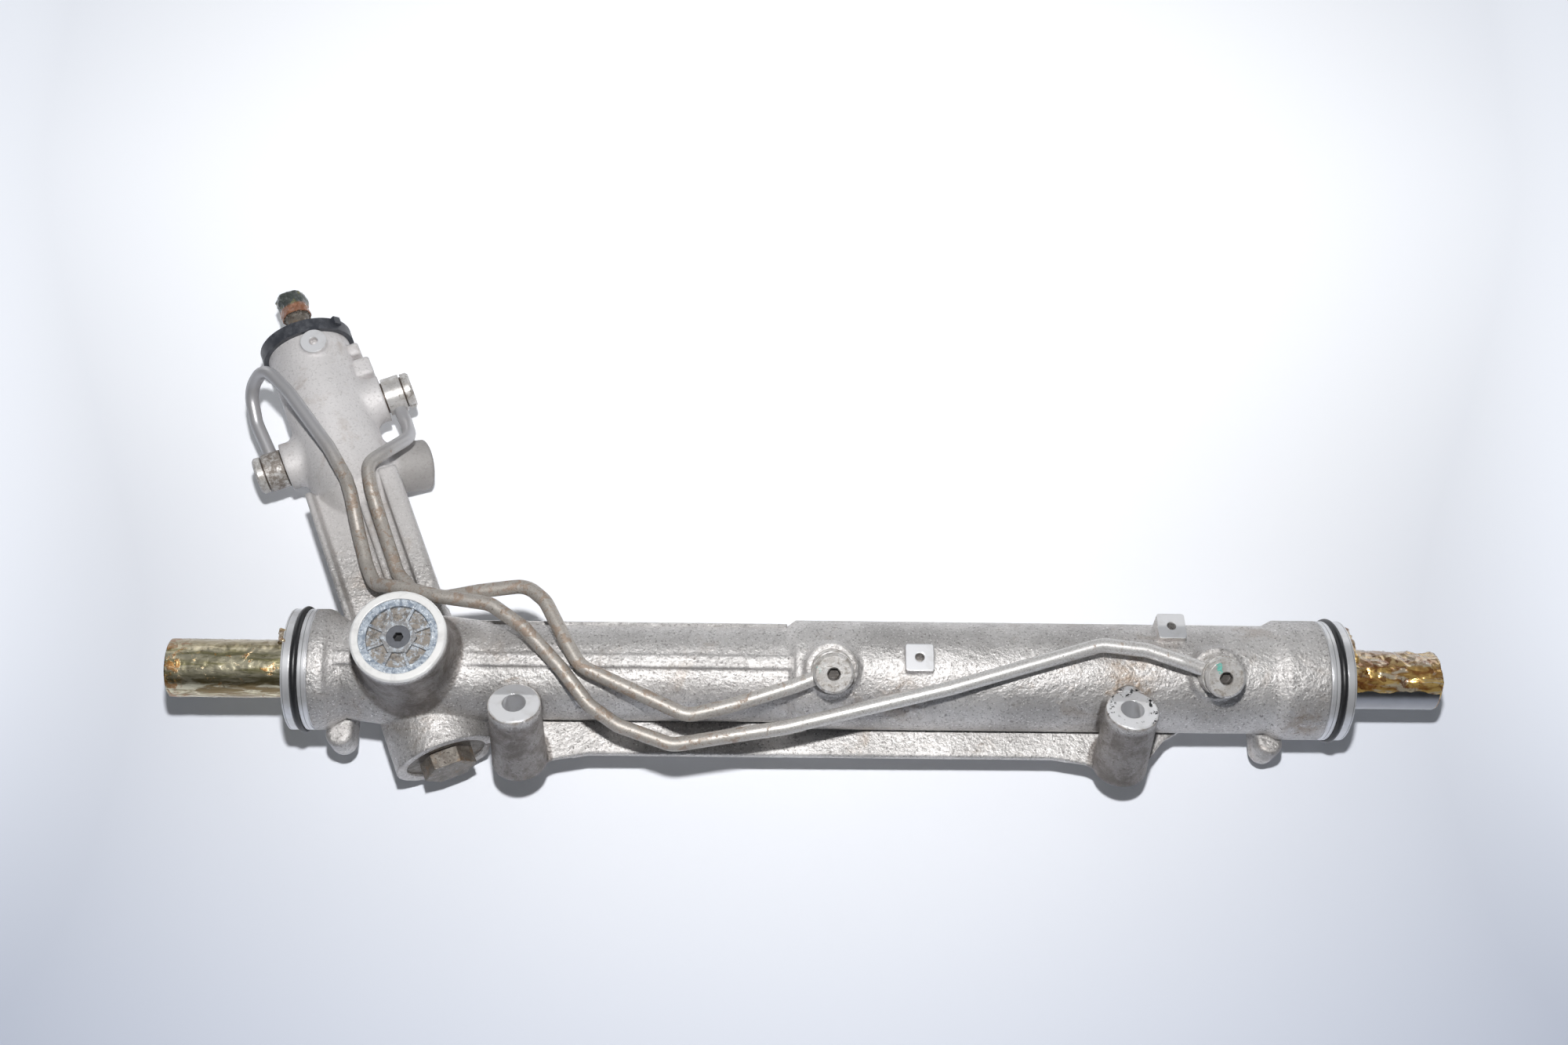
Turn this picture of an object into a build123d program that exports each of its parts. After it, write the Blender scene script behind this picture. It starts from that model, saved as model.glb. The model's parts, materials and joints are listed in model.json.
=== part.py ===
from build123d import *
import math
import os

# Hydraulic rack and pinion steering gear. Millimetres and degrees.
# The rack axis is X, with the left boot seat's outer face at the origin, and Z points out of the yoke boss.

# Rack bar
RACK_DIA = 32.0
RACK_LEFT_REACH = 68.7
RACK_RIGHT_REACH = 55.8
RACK_END_CHAMFER = 1.5
RACK_TRAVEL_LEFT = 69.0
RACK_TRAVEL_RIGHT = 81.0
TIE_ROD_HOLE_DIA = 14.0
TIE_ROD_HOLE_DEPTH = 26.0

# Pinion mesh
MODULE = 2.0
PINION_TEETH = 8
PRESSURE_ANGLE = 25.0
PINION_ADDENDUM = 1.6
RACK_ADDENDUM = 1.4
TOOTH_CLEARANCE = 0.35
BACKLASH = 0.16
PITCH_LINE_DROP = 8.9
PINION_X = 67.25
PINION_FACE_WIDTH = 34.0
TOWER_LEAN = 22.1
FLANK_STEPS = 4

# Housing along the rack axis
HOUSING_LENGTH = 592.7
TUBE_DIA = 54.0
TUBE_STEP_X = 277.0
CYLINDER_DIA = 61.6
CYLINDER_BORE_DIA = 43.0
RACK_BORE_DIA = 35.6
CAST_STEP = 5.0
TUBE_RIB_ANGLE = 24.0
TUBE_RIB_WIDTH = 4.0
TUBE_RIB_HEIGHT = 1.6
TUBE_BAND_LOW = -6.2
TUBE_BAND_HIGH = 1.6
TUBE_BAND_HEIGHT = 2.6
CAST_RADIUS = 6.0
GEAR_BODY_DIA = 62.8
GEAR_BODY_START = 24.0
GEAR_BODY_END = 116.0

# Radii where cast forms run together
YOKE_FILLET = 6.0
WEB_CORNER = 12.0
WEB_EDGE = 1.5
PORT_FILLET = 4.0
TOWER_PORT_FILLET = 6.0
LUG_FILLET = 3.0
SMALL_FILLET = 1.2

# Boot seats at both ends
SEAT_DIA = 68.0
SEAT_LIP = 4.8
RING_GROOVE_WIDTH = 4.2
RING_GROOVE_DEPTH = 2.6
SEAT_LAND = 4.2
SEAT_LINE_WIDTH = 0.8
SEAT_LINE_DEPTH = 0.6
COLLAR_LENGTH_LEFT = 22.0
COLLAR_LENGTH_RIGHT = 37.0
MOUTH_DIA = 50.0
MOUTH_DEPTH_LEFT = 18.0
MOUTH_DEPTH_RIGHT = 29.0
NECK_LENGTH = 9.0

# Seals and bushes of the hydraulic cylinder
RACK_SEAL_WIDTH = 8.0
SEAL_SUPPORT_WIDTH = 5.0
END_BUSH_LENGTH = 40.0
RUNNING_CLEARANCE = 0.05
ASSEMBLY_CLEARANCE = 0.1
PISTON_WIDTH = 16.0
PISTON_RING_WIDTH = 4.0
PISTON_RING_DEPTH = 2.5
CLIP_WIRE_DIA = 2.0

# Yoke boss, plug and pressure piece
YOKE_BOSS_DIA = 51.8
YOKE_BOSS_TOP = 58.5
YOKE_BOSS_DRAFT = 1.4
YOKE_BORE_DIA = 37.0
YOKE_PLUG_DIA = 42.6
YOKE_PLUG_THICKNESS = 13.0
YOKE_PLUG_SINK = 1.2
YOKE_PLUG_RIM = 3.9
YOKE_PLUG_RECESS = 2.6
YOKE_PLUG_RIBS = 8
YOKE_PLUG_RIB_WIDTH = 1.6
YOKE_HEX = 17.4
YOKE_SCREW_DIA = 13.0
YOKE_SCREW_SOCKET = 5.0
YOKE_HEIGHT = 21.0
YOKE_LINER = 0.8
YOKE_SPRING_DIA = 24.0
YOKE_RING_DIA = 2.4

# Tower, measured along its axis from the pinion's crossing with the rack
TOWER_MOUTH = 4.0
TOWER_BODY_DIA = 50.0
TOWER_BODY_START = 102.0
TOWER_BODY_TAPER = 20.0
TOWER_WALLS_END = 126.0
TOWER_WALLS_START = 10.0
TROUGH_WIDTH = 55.0
TROUGH_TOP = 20.0
TROUGH_FLOOR = 14.0
TROUGH_BOTTOM = 23.0
TROUGH_CORNER = 8.0
LEFT_RIB_WIDTH = 3.5
MIDDLE_RIB_WIDTH = 3.6
MIDDLE_RIB_X = -2.4
RIGHT_RIB_WIDTH = 10.5
SKIRT_DIA = 57.4
SKIRT_END = -50.0
SKIRT_LENGTH = 84.0
PLUG_BORE_DIA = 46.0
PLUG_BORE_DEPTH = 12.0
LOWER_HEX = 26.0
LOWER_HEX_HEIGHT = 9.5
LOWER_PLUG_SINK = 1.5

TOWER_BOSS_DIA = 15.5
TOWER_BOSS_X = -6.0
TOWER_BOSS_HEIGHT = 27.5
TOWER_BOSS_DROP = 11.0
TOWER_BOSS_HOLE_DEPTH = 5.0
# Cast pads on the tower's right side: distance below its top, reach to the right, length
TOWER_PADS = ((14.0, 30.0, 8.0), (27.5, 33.5, 12.0))
TOWER_PAD_WIDTH = 16.0

# Bearings on the pinion
LOWER_BEARING_BORE = 15.0
LOWER_BEARING_DIA = 35.0
LOWER_BEARING_WIDTH = 11.0
BEARING_RACE = 2.8
BALL_DIA = 5.6
BALL_COUNT = 9
BALL_PLAY = 0.3
NEEDLE_JOURNAL_DIA = 16.0
NEEDLE_BEARING_DIA = 24.0
NEEDLE_BEARING_WIDTH = 10.0
PINION_SEAL_WIDTH = 4.0
PINION_STEM_DIA = 14.0
PINION_NUT_HEX = 19.0
PINION_NUT_HEIGHT = 6.0

# Rotary valve
VALVE_BORE_DIA = 38.0
VALVE_START = 122.0
VALVE_LENGTH = 76.0
PINION_HEAD_DIA = 28.0
PINION_HEAD_LENGTH = 14.0
SPOOL_DIA = 22.0
SPOOL_NOSE_DIA = 16.0
SLEEVE_RING_WIDTH = 2.2
SLEEVE_RING_DEPTH = 1.8
SLEEVE_RING_COUNT = 4
TORSION_BAR_DIA = 6.4
TORSION_BAR_PLAY = 1.2
TORSION_BAR_START = 62.0
TORSION_BAR_SINK = 8.0
TORSION_PIN_DIA = 3.0
UPPER_BEARING_DIA = 44.0
UPPER_BEARING_GAP = 5.0
UPPER_BEARING_WIDTH = 12.0
INPUT_SEAL_WIDTH = 8.0
RETAINING_RING_WIDTH = 2.0
INPUT_JOURNAL_DIA = 19.0
SPLINE_DIA = 16.4
SPLINE_ROOT_DIA = 14.6
SPLINE_LENGTH = 18.0
SPLINE_TEETH = 18
SPLINE_NECK_DIA = 13.6
SPLINE_NECK_LENGTH = 5.0
INPUT_REACH = 41.0
DUST_CAP_DIA = 56.0
DUST_CAP_WIDTH = 8.0
DUST_CAP_LAP = 3.0
DUST_CAP_LID = 2.6
DUST_CAP_TAB = 5.0
DUST_CAP_TAB_TURN = 140.0

# Mounting bosses for M12 bolts
MOUNT_BORE_DIA = 13.0
MOUNT_DIA = 29.0
MOUNT_DRAFT = 0.8
MOUNT_LENGTH = 48.8
MOUNT_LEAN = 24.6
MOUNT_LEFT_X = 127.9
MOUNT_RIGHT_INSET = 126.6
MOUNT_TOP_Y = -28.3
MOUNT_TOP_Z = 32.0
WEB_EDGE_Y = -44.5
WEB_TOP_Z = -10.0
WEB_THICKNESS = 6.0
WEB_FLARE = 28.0
GUSSET_LENGTH = 36.0

# Square bosses and cast lugs
BRACKET_BOSS_WIDTH = 15.6
BRACKET_HOLE_DIA = 5.2
BRACKET_HOLE_DEPTH = 12.0
INNER_BRACKET_X = 349.5
INNER_BRACKET_ANGLE = 91.0
INNER_BRACKET_RADIUS = 35.0
OUTER_BRACKET_INSET = 100.7
OUTER_BRACKET_ANGLE = 56.0
OUTER_BRACKET_RADIUS = 37.5
LUG_DIA = 15.0
LUG_REACH = 34.5
LUG_LEFT_X = 26.0
LUG_RIGHT_INSET = 39.7

# Pipe fittings
PIPE_DIA = 8.0
PIPE_BEND_RADIUS = 16.0
PIPE_GRIP = 8.5
LEFT_PIPE_TURN = 0.0
RIGHT_PIPE_TURN = 180.0
INNER_PIPE_TURN = 202.5
OUTER_PIPE_TURN = 161.4
BANJO_DIA = 23.0
BANJO_HEIGHT = 11.0
BANJO_BOLT_DIA = 12.0
BANJO_BOLT_GRIP = 11.0
BANJO_HEAD_HEIGHT = 5.0
BANJO_HEAD_BEVEL = 1.4
BANJO_SOCKET = 6.0
BANJO_SOCKET_DEPTH = 4.0
WASHER_THICKNESS = 1.0
WASHER_DIA = 19.0
FITTING_SEAT_DIA = 28.6
CYLINDER_PORT_LEAN = 27.0
CYLINDER_PORT_HEIGHT = 34.0
CYLINDER_PORT_OFFSET = 8.6
INNER_PORT_X = 301.0
OUTER_PORT_INSET = 78.4
TOWER_LEFT_PORT_S = 157.0
TOWER_RIGHT_PORT_S = 180.5
TOWER_PORT_HEIGHT = 34.0
PORT_HOLE_DIA = 5.0
HOSE_PORT_S = 138.5
HOSE_PORT_DIA = 31.0
HOSE_PORT_REACH = 47.5
HOSE_PORT_HOLE_DIA = 14.5
HOSE_PORT_DEPTH = 14.0
HOSE_PORT_TILT = 24.0
HOSE_PASSAGE_DIA = 8.0
FEED_PORT_S = 150.0
FEED_PORT_DIA = 24.0
FEED_PORT_REACH = 27.5
FEED_PORT_HOLE_DIA = 12.5
FEED_PORT_DEPTH = 6.5

# Values worked out from the sizes above
RACK_R = RACK_DIA / 2
PITCH_R = MODULE * PINION_TEETH / 2
PINION_DROP = PITCH_LINE_DROP + PITCH_R
TOOTH_PITCH = math.pi * MODULE
VALVE_END = VALVE_START + VALVE_LENGTH
INPUT_SEAL_START = VALVE_END + UPPER_BEARING_GAP + UPPER_BEARING_WIDTH
TOWER_TOP = INPUT_SEAL_START + INPUT_SEAL_WIDTH + RETAINING_RING_WIDTH + TOWER_MOUTH
INPUT_TOP = TOWER_TOP + INPUT_REACH
MOUNT_RIGHT_X = HOUSING_LENGTH - MOUNT_RIGHT_INSET
OUTER_BRACKET_X = HOUSING_LENGTH - OUTER_BRACKET_INSET
OUTER_PORT_X = HOUSING_LENGTH - OUTER_PORT_INSET
LUG_RIGHT_X = HOUSING_LENGTH - LUG_RIGHT_INSET
SEAL_END = TUBE_STEP_X + CAST_STEP + SEAL_SUPPORT_WIDTH + RACK_SEAL_WIDTH
BUSH_START = HOUSING_LENGTH - MOUTH_DEPTH_RIGHT - END_BUSH_LENGTH
PISTON_X = (SEAL_END + BUSH_START + RACK_TRAVEL_LEFT - RACK_TRAVEL_RIGHT) / 2

lean = math.radians(TOWER_LEAN)
RACK_FRAME = Plane(origin=(0, 0, 0), x_dir=(0, 1, 0), z_dir=(1, 0, 0))
# In the tower's frame x points left, y points out of the yoke boss and z runs up the tower.
TOWER_FRAME = Plane(
    origin=(PINION_X, 0, -PINION_DROP),
    x_dir=(-math.cos(lean), -math.sin(lean), 0),
    z_dir=(-math.sin(lean), math.cos(lean), 0),
)
YOKE_FRAME = Plane(origin=(PINION_X, 0, 0), x_dir=(1, 0, 0), z_dir=(0, 0, 1))


ON_TOP = (Align.CENTER, Align.CENTER, Align.MIN)
HUNG_BELOW = (Align.CENTER, Align.CENTER, Align.MAX)
OUTWARDS = (Align.MIN, Align.CENTER, Align.MIN)


def rod(plane, start, length, dia):
    """A cylinder along a plane's normal, starting at a distance from the plane."""
    return plane * Pos(0, 0, start) * Cylinder(dia / 2, length, align=ON_TOP)


def ring(plane, start, length, outer_dia, inner_dia):
    return rod(plane, start, length, outer_dia) - rod(plane, start, length, inner_dia)


def turned(plane, outline):
    """A solid turned about a plane's normal from (radius, distance) points."""
    face = make_face(Plane.XZ * Polyline(*outline, close=True))
    return plane * revolve(face, Axis.Z)


def hex_bar(plane, start, length, across_flats):
    hexagon = plane * Pos(0, 0, start) * RegularPolygon(across_flats / 2, 6, major_radius=False)
    return extrude(hexagon, length)


def slab(low, high):
    """A box between two corners."""
    size = [b - a for a, b in zip(low, high)]
    middle = [(a + b) / 2 for a, b in zip(low, high)]
    return Pos(*middle) * Box(*size)


def run_together(base, piece, radius):
    """Two cast forms joined, with a fillet along the whole seam."""
    joined = base + piece
    return fillet(new_edges(base, piece, combined=joined), radius)


def port_frame(x):
    """The frame of a cylinder port, with z out of the seat and its origin level with the rack axis."""
    tilt = math.radians(CYLINDER_PORT_LEAN)
    out = (0, -math.sin(tilt), math.cos(tilt))
    foot = (x, CYLINDER_PORT_OFFSET * math.cos(tilt), CYLINDER_PORT_OFFSET * math.sin(tilt))
    return Plane(origin=foot, x_dir=(1, 0, 0), z_dir=out)


def tower_point(x, y, s):
    return (TOWER_FRAME * Pos(x, y, s)).position


def tower_side(s, side, tilt=0.0):
    """A frame on the tower's axis, with z pointing left (side 1) or right (side -1), tilted down."""
    turn = math.radians(tilt)
    out = TOWER_FRAME.x_dir * side * math.cos(turn) - TOWER_FRAME.y_dir * math.sin(turn)
    return Plane(origin=tower_point(0, 0, s), x_dir=TOWER_FRAME.z_dir, z_dir=out)


def mount_frame(x):
    tilt = math.radians(MOUNT_LEAN)
    up = (0, math.sin(tilt), math.cos(tilt))
    return Plane(origin=(x, MOUNT_TOP_Y, MOUNT_TOP_Z), x_dir=(1, 0, 0), z_dir=up)


def bracket_frame(x, angle):
    """A frame on the rack axis, with z pointing out at an angle from +Y towards +Z."""
    turn = math.radians(angle)
    return Plane(origin=(x, 0, 0), x_dir=(1, 0, 0), z_dir=(0, math.cos(turn), math.sin(turn)))


FITTINGS = {
    "inner": (port_frame(INNER_PORT_X), CYLINDER_PORT_HEIGHT),
    "outer": (port_frame(OUTER_PORT_X), CYLINDER_PORT_HEIGHT),
    "left": (tower_side(TOWER_LEFT_PORT_S, 1), TOWER_PORT_HEIGHT),
    "right": (tower_side(TOWER_RIGHT_PORT_S, -1), TOWER_PORT_HEIGHT),
}


def rack_outline():
    """The cast body turned about the rack axis: seat, collar, tube, cylinder, collar and seat."""
    seat, groove = SEAT_DIA / 2, SEAT_DIA / 2 - RING_GROOVE_DEPTH
    tube, cylinder = TUBE_DIA / 2, CYLINDER_DIA / 2
    far = HOUSING_LENGTH
    groove_end = SEAT_LIP + RING_GROOVE_WIDTH
    line = groove_end + SEAT_LAND
    line_end = line + SEAT_LINE_WIDTH
    line_floor = seat - SEAT_LINE_DEPTH
    return [
        (0, 0),
        (seat, 0),
        (seat, SEAT_LIP),
        (groove, SEAT_LIP),
        (groove, groove_end),
        (seat, groove_end),
        (seat, line),
        (line_floor, line),
        (line_floor, line_end),
        (seat, line_end),
        (seat, COLLAR_LENGTH_LEFT - CAST_RADIUS / 2),
        (seat - CAST_RADIUS / 6, COLLAR_LENGTH_LEFT),
        (seat - CAST_RADIUS / 2, COLLAR_LENGTH_LEFT + CAST_RADIUS / 3),
        (tube + 1, COLLAR_LENGTH_LEFT + NECK_LENGTH - 2),
        (tube, COLLAR_LENGTH_LEFT + NECK_LENGTH),
        (tube, TUBE_STEP_X),
        (cylinder, TUBE_STEP_X + CAST_STEP),
        (cylinder, far - COLLAR_LENGTH_RIGHT - CAST_RADIUS),
        (seat, far - COLLAR_LENGTH_RIGHT),
        (seat, far - line_end),
        (line_floor, far - line_end),
        (line_floor, far - line),
        (seat, far - line),
        (seat, far - groove_end),
        (groove, far - groove_end),
        (groove, far - SEAT_LIP),
        (seat, far - SEAT_LIP),
        (seat, far),
        (0, far),
    ]


def tower_boss_frame():
    """The threaded boss near the top of the tower, facing the same way as the yoke boss."""
    top = tower_point(TOWER_BOSS_X, TOWER_BOSS_HEIGHT, TOWER_TOP - TOWER_BOSS_DROP)
    return Plane(origin=top, x_dir=(1, 0, 0), z_dir=(0, 0, 1))


def feed_port_frame():
    """The spot face of the feed port, on the side of the tower away from the yoke boss."""
    return Plane(origin=tower_point(0, -FEED_PORT_REACH, FEED_PORT_S), x_dir=(1, 0, 0), z_dir=(0, 0, -1))


def tower_section():
    """The ribbed section of the lower tower, seen down its axis."""
    half = TROUGH_WIDTH / 2
    left_foot = half - LEFT_RIB_WIDTH - 2
    middle = MIDDLE_RIB_WIDTH / 2
    right_foot = -half + RIGHT_RIB_WIDTH + 1.5
    low = -TROUGH_BOTTOM
    return [
        (half, low + TROUGH_CORNER),
        (half, TROUGH_TOP - 1),
        (half - 1, TROUGH_TOP),
        (half - LEFT_RIB_WIDTH, TROUGH_TOP),
        (left_foot, TROUGH_FLOOR),
        (MIDDLE_RIB_X + middle + 0.8, TROUGH_FLOOR),
        (MIDDLE_RIB_X + middle, TROUGH_TOP - 1.5),
        (MIDDLE_RIB_X - middle, TROUGH_TOP - 1.5),
        (MIDDLE_RIB_X - middle - 0.8, TROUGH_FLOOR),
        (right_foot, TROUGH_FLOOR),
        (right_foot - 1.5, TROUGH_TOP),
        (-half + 2, TROUGH_TOP),
        (-half, TROUGH_TOP - 2),
        (-half, low + TROUGH_CORNER),
        (-half + TROUGH_CORNER, low),
        (half - TROUGH_CORNER, low),
    ]


def tower_body():
    """The round valve body with its ports, whose foot tapers into the trough."""
    radius = TOWER_BODY_DIA / 2
    body = turned(TOWER_FRAME, [
        (0, TOWER_BODY_START),
        (TROUGH_FLOOR, TOWER_BODY_START),
        (radius, TOWER_BODY_START + TOWER_BODY_TAPER),
        (radius, TOWER_TOP),
        (0, TOWER_TOP),
    ])
    hose = rod(tower_side(HOSE_PORT_S, -1, HOSE_PORT_TILT), 0, HOSE_PORT_REACH, HOSE_PORT_DIA)
    body = run_together(body, hose, TOWER_PORT_FILLET)
    for name in ("left", "right"):
        frame, height = FITTINGS[name]
        body = run_together(body, rod(frame, 0, height, FITTING_SEAT_DIA), TOWER_PORT_FILLET)
    boss = rod(tower_boss_frame(), -TOWER_BODY_DIA / 5, TOWER_BODY_DIA / 5, TOWER_BOSS_DIA)
    return run_together(body, boss, SMALL_FILLET)


def cast_tower():
    """The tower's solid metal: ribbed lower part, valve body, feed port and pads."""
    section = make_face(TOWER_FRAME * Pos(0, 0, TOWER_WALLS_START) * Polyline(*tower_section(), close=True))
    body = extrude(section, TOWER_WALLS_END - TOWER_WALLS_START)
    body += tower_body()
    body += rod(feed_port_frame(), -FEED_PORT_REACH, FEED_PORT_REACH, FEED_PORT_DIA)
    for drop, reach, length in TOWER_PADS:
        block = Box(reach / 2, TOWER_PAD_WIDTH, length)
        body += TOWER_FRAME * Pos(-reach * 3 / 4, 2, TOWER_TOP - drop) * fillet(block.edges(), 1.8)
    return body


def web_outline():
    """The mounting web seen from above, flared where it runs into the bosses."""
    left, right = MOUNT_LEFT_X, MOUNT_RIGHT_X
    foot = MOUNT_DIA / 3
    deep = WEB_EDGE_Y - 9
    return [
        (left, -12),
        (left, deep),
        (left + foot, deep),
        (left + foot + WEB_FLARE * 0.3, WEB_EDGE_Y - 3.5),
        (left + foot + WEB_FLARE, WEB_EDGE_Y),
        (right - foot - WEB_FLARE, WEB_EDGE_Y),
        (right - foot - WEB_FLARE * 0.3, WEB_EDGE_Y - 3.5),
        (right - foot, deep),
        (right + foot, deep),
        (right + GUSSET_LENGTH * 0.75, -33),
        (right + GUSSET_LENGTH, -28),
        (right + GUSSET_LENGTH + 6, -12),
    ]


def mount_boss(x):
    radius = MOUNT_DIA / 2
    foot = radius + MOUNT_DRAFT
    return turned(mount_frame(x), [
        (0, 0),
        (radius - 1, 0),
        (radius, -1),
        (foot, 1 - MOUNT_LENGTH),
        (foot - 1, -MOUNT_LENGTH),
        (0, -MOUNT_LENGTH),
    ])


def mounting_web():
    """The flat web between the mounting bosses, with a soft near edge."""
    outline = make_face(Pos(0, 0, WEB_TOP_Z - WEB_THICKNESS) * Polyline(*web_outline(), close=True))
    web = extrude(outline, WEB_THICKNESS, dir=(0, 0, 1))
    corners = [edge for edge in web.edges().filter_by(Axis.Z) if abs(edge.center().Y - WEB_EDGE_Y) < 4]
    web = fillet(corners, WEB_CORNER)
    between = MOUNT_LEFT_X + MOUNT_DIA / 3, MOUNT_RIGHT_X - MOUNT_DIA / 3
    rim = []
    for edge in web.edges().filter_by(Plane.XY):
        middle = edge.center()
        if middle.Y < WEB_EDGE_Y + 1 and between[0] < middle.X < between[1]:
            rim.append(edge)
    return fillet(rim, WEB_EDGE)


def gear_body():
    """The swelling of the tube round the pinion."""
    start, end = GEAR_BODY_START, GEAR_BODY_END
    foot = TUBE_DIA / 2 - 1
    swell = ThreePointArc((foot, start), (GEAR_BODY_DIA / 2, PINION_X), (foot, end))
    rest = Polyline((foot, end), (0, end), (0, start), (foot, start))
    return RACK_FRAME * revolve(Plane.XZ * make_face([swell, rest]), Axis.Z)


def lug(x):
    """A cast lug beside a boot seat, with a soft outline."""
    post = Pos(x, -LUG_REACH, -19) * Cylinder(LUG_DIA / 2, 22)
    post += slab((x - LUG_DIA / 2, -LUG_REACH, -30), (x + LUG_DIA / 2, -10, -8))
    return fillet(post.edges(), LUG_FILLET)


def cast_details():
    """Ribs of the tube and square bracket bosses."""
    tube = TUBE_DIA / 2
    band_top = tube + TUBE_BAND_HEIGHT
    band = slab((COLLAR_LENGTH_LEFT - 4, TUBE_BAND_LOW, 0), (TUBE_STEP_X + 2, TUBE_BAND_HIGH, band_top))
    metal = fillet(band.edges().filter_by(Axis.X).sort_by(Axis.Z)[-2:], SMALL_FILLET)
    length = TUBE_STEP_X - PINION_X
    rib = Box(length, TUBE_RIB_WIDTH, tube + TUBE_RIB_HEIGHT, align=OUTWARDS)
    metal += bracket_frame(PINION_X, TUBE_RIB_ANGLE) * rib
    for frame in bracket_faces():
        block = Box(BRACKET_BOSS_WIDTH, BRACKET_BOSS_WIDTH, 15, align=HUNG_BELOW)
        metal += frame * fillet(block.edges().filter_by(Axis.Z), 1.5)
    return metal


def bracket_faces():
    """The machined faces of the square bosses, which turn only a third as far as their places do."""
    faces = []
    for x, angle, radius in (
        (INNER_BRACKET_X, INNER_BRACKET_ANGLE, INNER_BRACKET_RADIUS),
        (OUTER_BRACKET_X, OUTER_BRACKET_ANGLE, OUTER_BRACKET_RADIUS),
    ):
        place = math.radians(angle)
        facing = math.radians(90 + (angle - 90) / 3)
        middle = (x, radius * math.cos(place), radius * math.sin(place))
        faces.append(Plane(origin=middle, x_dir=(1, 0, 0), z_dir=(0, math.cos(facing), math.sin(facing))))
    return faces


def yoke_boss():
    top, radius = YOKE_BOSS_TOP, YOKE_BOSS_DIA / 2
    foot = radius + YOKE_BOSS_DRAFT
    low = -PINION_DROP
    return turned(YOKE_FRAME, [
        (0, low),
        (foot, low),
        (foot, 0),
        (radius, top - 1),
        (radius - 1, top),
        (0, top),
    ])


def housing_bores():
    """Everything that is drilled or bored out of the casting."""
    far = HOUSING_LENGTH
    holes = [
        rod(RACK_FRAME, -1, far + 2, RACK_BORE_DIA),
        rod(RACK_FRAME, -1, MOUTH_DEPTH_LEFT + 1, MOUTH_DIA),
        rod(RACK_FRAME, TUBE_STEP_X + CAST_STEP, far, CYLINDER_BORE_DIA),
        rod(RACK_FRAME, far - MOUTH_DEPTH_RIGHT, far, MOUTH_DIA),
        rod(YOKE_FRAME, 0, YOKE_BOSS_TOP + 1, YOKE_BORE_DIA),
        rod(YOKE_FRAME, YOKE_BOSS_TOP - YOKE_PLUG_SINK - YOKE_PLUG_THICKNESS - 1, 30, YOKE_PLUG_DIA),
    ]
    for start, end, dia in tower_bores():
        holes.append(rod(TOWER_FRAME, start, end - start, dia))
    for x in (MOUNT_LEFT_X, MOUNT_RIGHT_X):
        holes.append(rod(mount_frame(x), -MOUNT_LENGTH - 1, MOUNT_LENGTH + 2, MOUNT_BORE_DIA))
        # The web stops short of the pad that the boss stands on
        holes.append(rod(mount_frame(x), -2 * MOUNT_LENGTH, MOUNT_LENGTH, 2 * MOUNT_DIA))
    for frame in bracket_faces():
        holes.append(rod(frame, -BRACKET_HOLE_DEPTH, BRACKET_HOLE_DEPTH + 1, BRACKET_HOLE_DIA))
    depth = TOWER_BOSS_HOLE_DEPTH
    holes.append(rod(tower_boss_frame(), -depth, depth + 1, BRACKET_HOLE_DIA))
    holes.append(rod(feed_port_frame(), -FEED_PORT_DEPTH, FEED_PORT_DEPTH + 1, FEED_PORT_HOLE_DIA))
    holes.append(rod(feed_port_frame(), -FEED_PORT_REACH, FEED_PORT_REACH, HOSE_PASSAGE_DIA))
    for frame, height in FITTINGS.values():
        holes.append(rod(frame, height - BANJO_BOLT_GRIP, BANJO_BOLT_GRIP + 1, BANJO_BOLT_DIA))
        holes.append(rod(frame, 12, height - 12, PORT_HOLE_DIA))
    hose = tower_side(HOSE_PORT_S, -1, HOSE_PORT_TILT)
    holes.append(rod(hose, HOSE_PORT_REACH - HOSE_PORT_DEPTH, HOSE_PORT_DEPTH + 1, HOSE_PORT_HOLE_DIA))
    holes.append(rod(hose, 12, HOSE_PORT_REACH - 12, HOSE_PASSAGE_DIA))
    return holes


def tower_bores():
    """Stepped bore of the tower, as start, end and diameter along its axis."""
    face = PINION_FACE_WIDTH / 2 + 2
    pinion_dia = 2 * (PITCH_R + PINION_ADDENDUM) + 1.6
    bearing_start = SKIRT_END + PLUG_BORE_DEPTH
    needle_end = needle_seat_end()
    return [
        (SKIRT_END - 1, bearing_start, PLUG_BORE_DIA),
        (bearing_start - 0.5, bearing_start + LOWER_BEARING_WIDTH + 1, LOWER_BEARING_DIA),
        (bearing_start, needle_end, pinion_dia),
        (face, needle_end, NEEDLE_BEARING_DIA),
        (needle_end - 0.5, VALVE_START, PINION_STEM_DIA + 8),
        (VALVE_START - 4, VALVE_END + UPPER_BEARING_GAP, VALVE_BORE_DIA),
        (VALVE_END + UPPER_BEARING_GAP, TOWER_TOP + 1, UPPER_BEARING_DIA),
    ]


def rack_housing():
    metal = turned(RACK_FRAME, rack_outline())
    for name in ("inner", "outer"):
        frame, height = FITTINGS[name]
        metal = run_together(metal, rod(frame, 5, height - 5, FITTING_SEAT_DIA), PORT_FILLET)
    metal += gear_body()
    # The skirt runs on behind the yoke boss, so that the boss has one closed seam
    metal += rod(TOWER_FRAME, SKIRT_END, SKIRT_LENGTH, SKIRT_DIA)
    metal = run_together(metal, yoke_boss(), YOKE_FILLET)
    metal += mounting_web()
    metal += [mount_boss(x) for x in (MOUNT_LEFT_X, MOUNT_RIGHT_X)]
    metal += [lug(x) for x in (LUG_LEFT_X, LUG_RIGHT_X)]
    metal += cast_tower()
    metal += cast_details()
    return metal - housing_bores()


def involute(angle):
    return math.tan(angle) - angle


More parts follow.
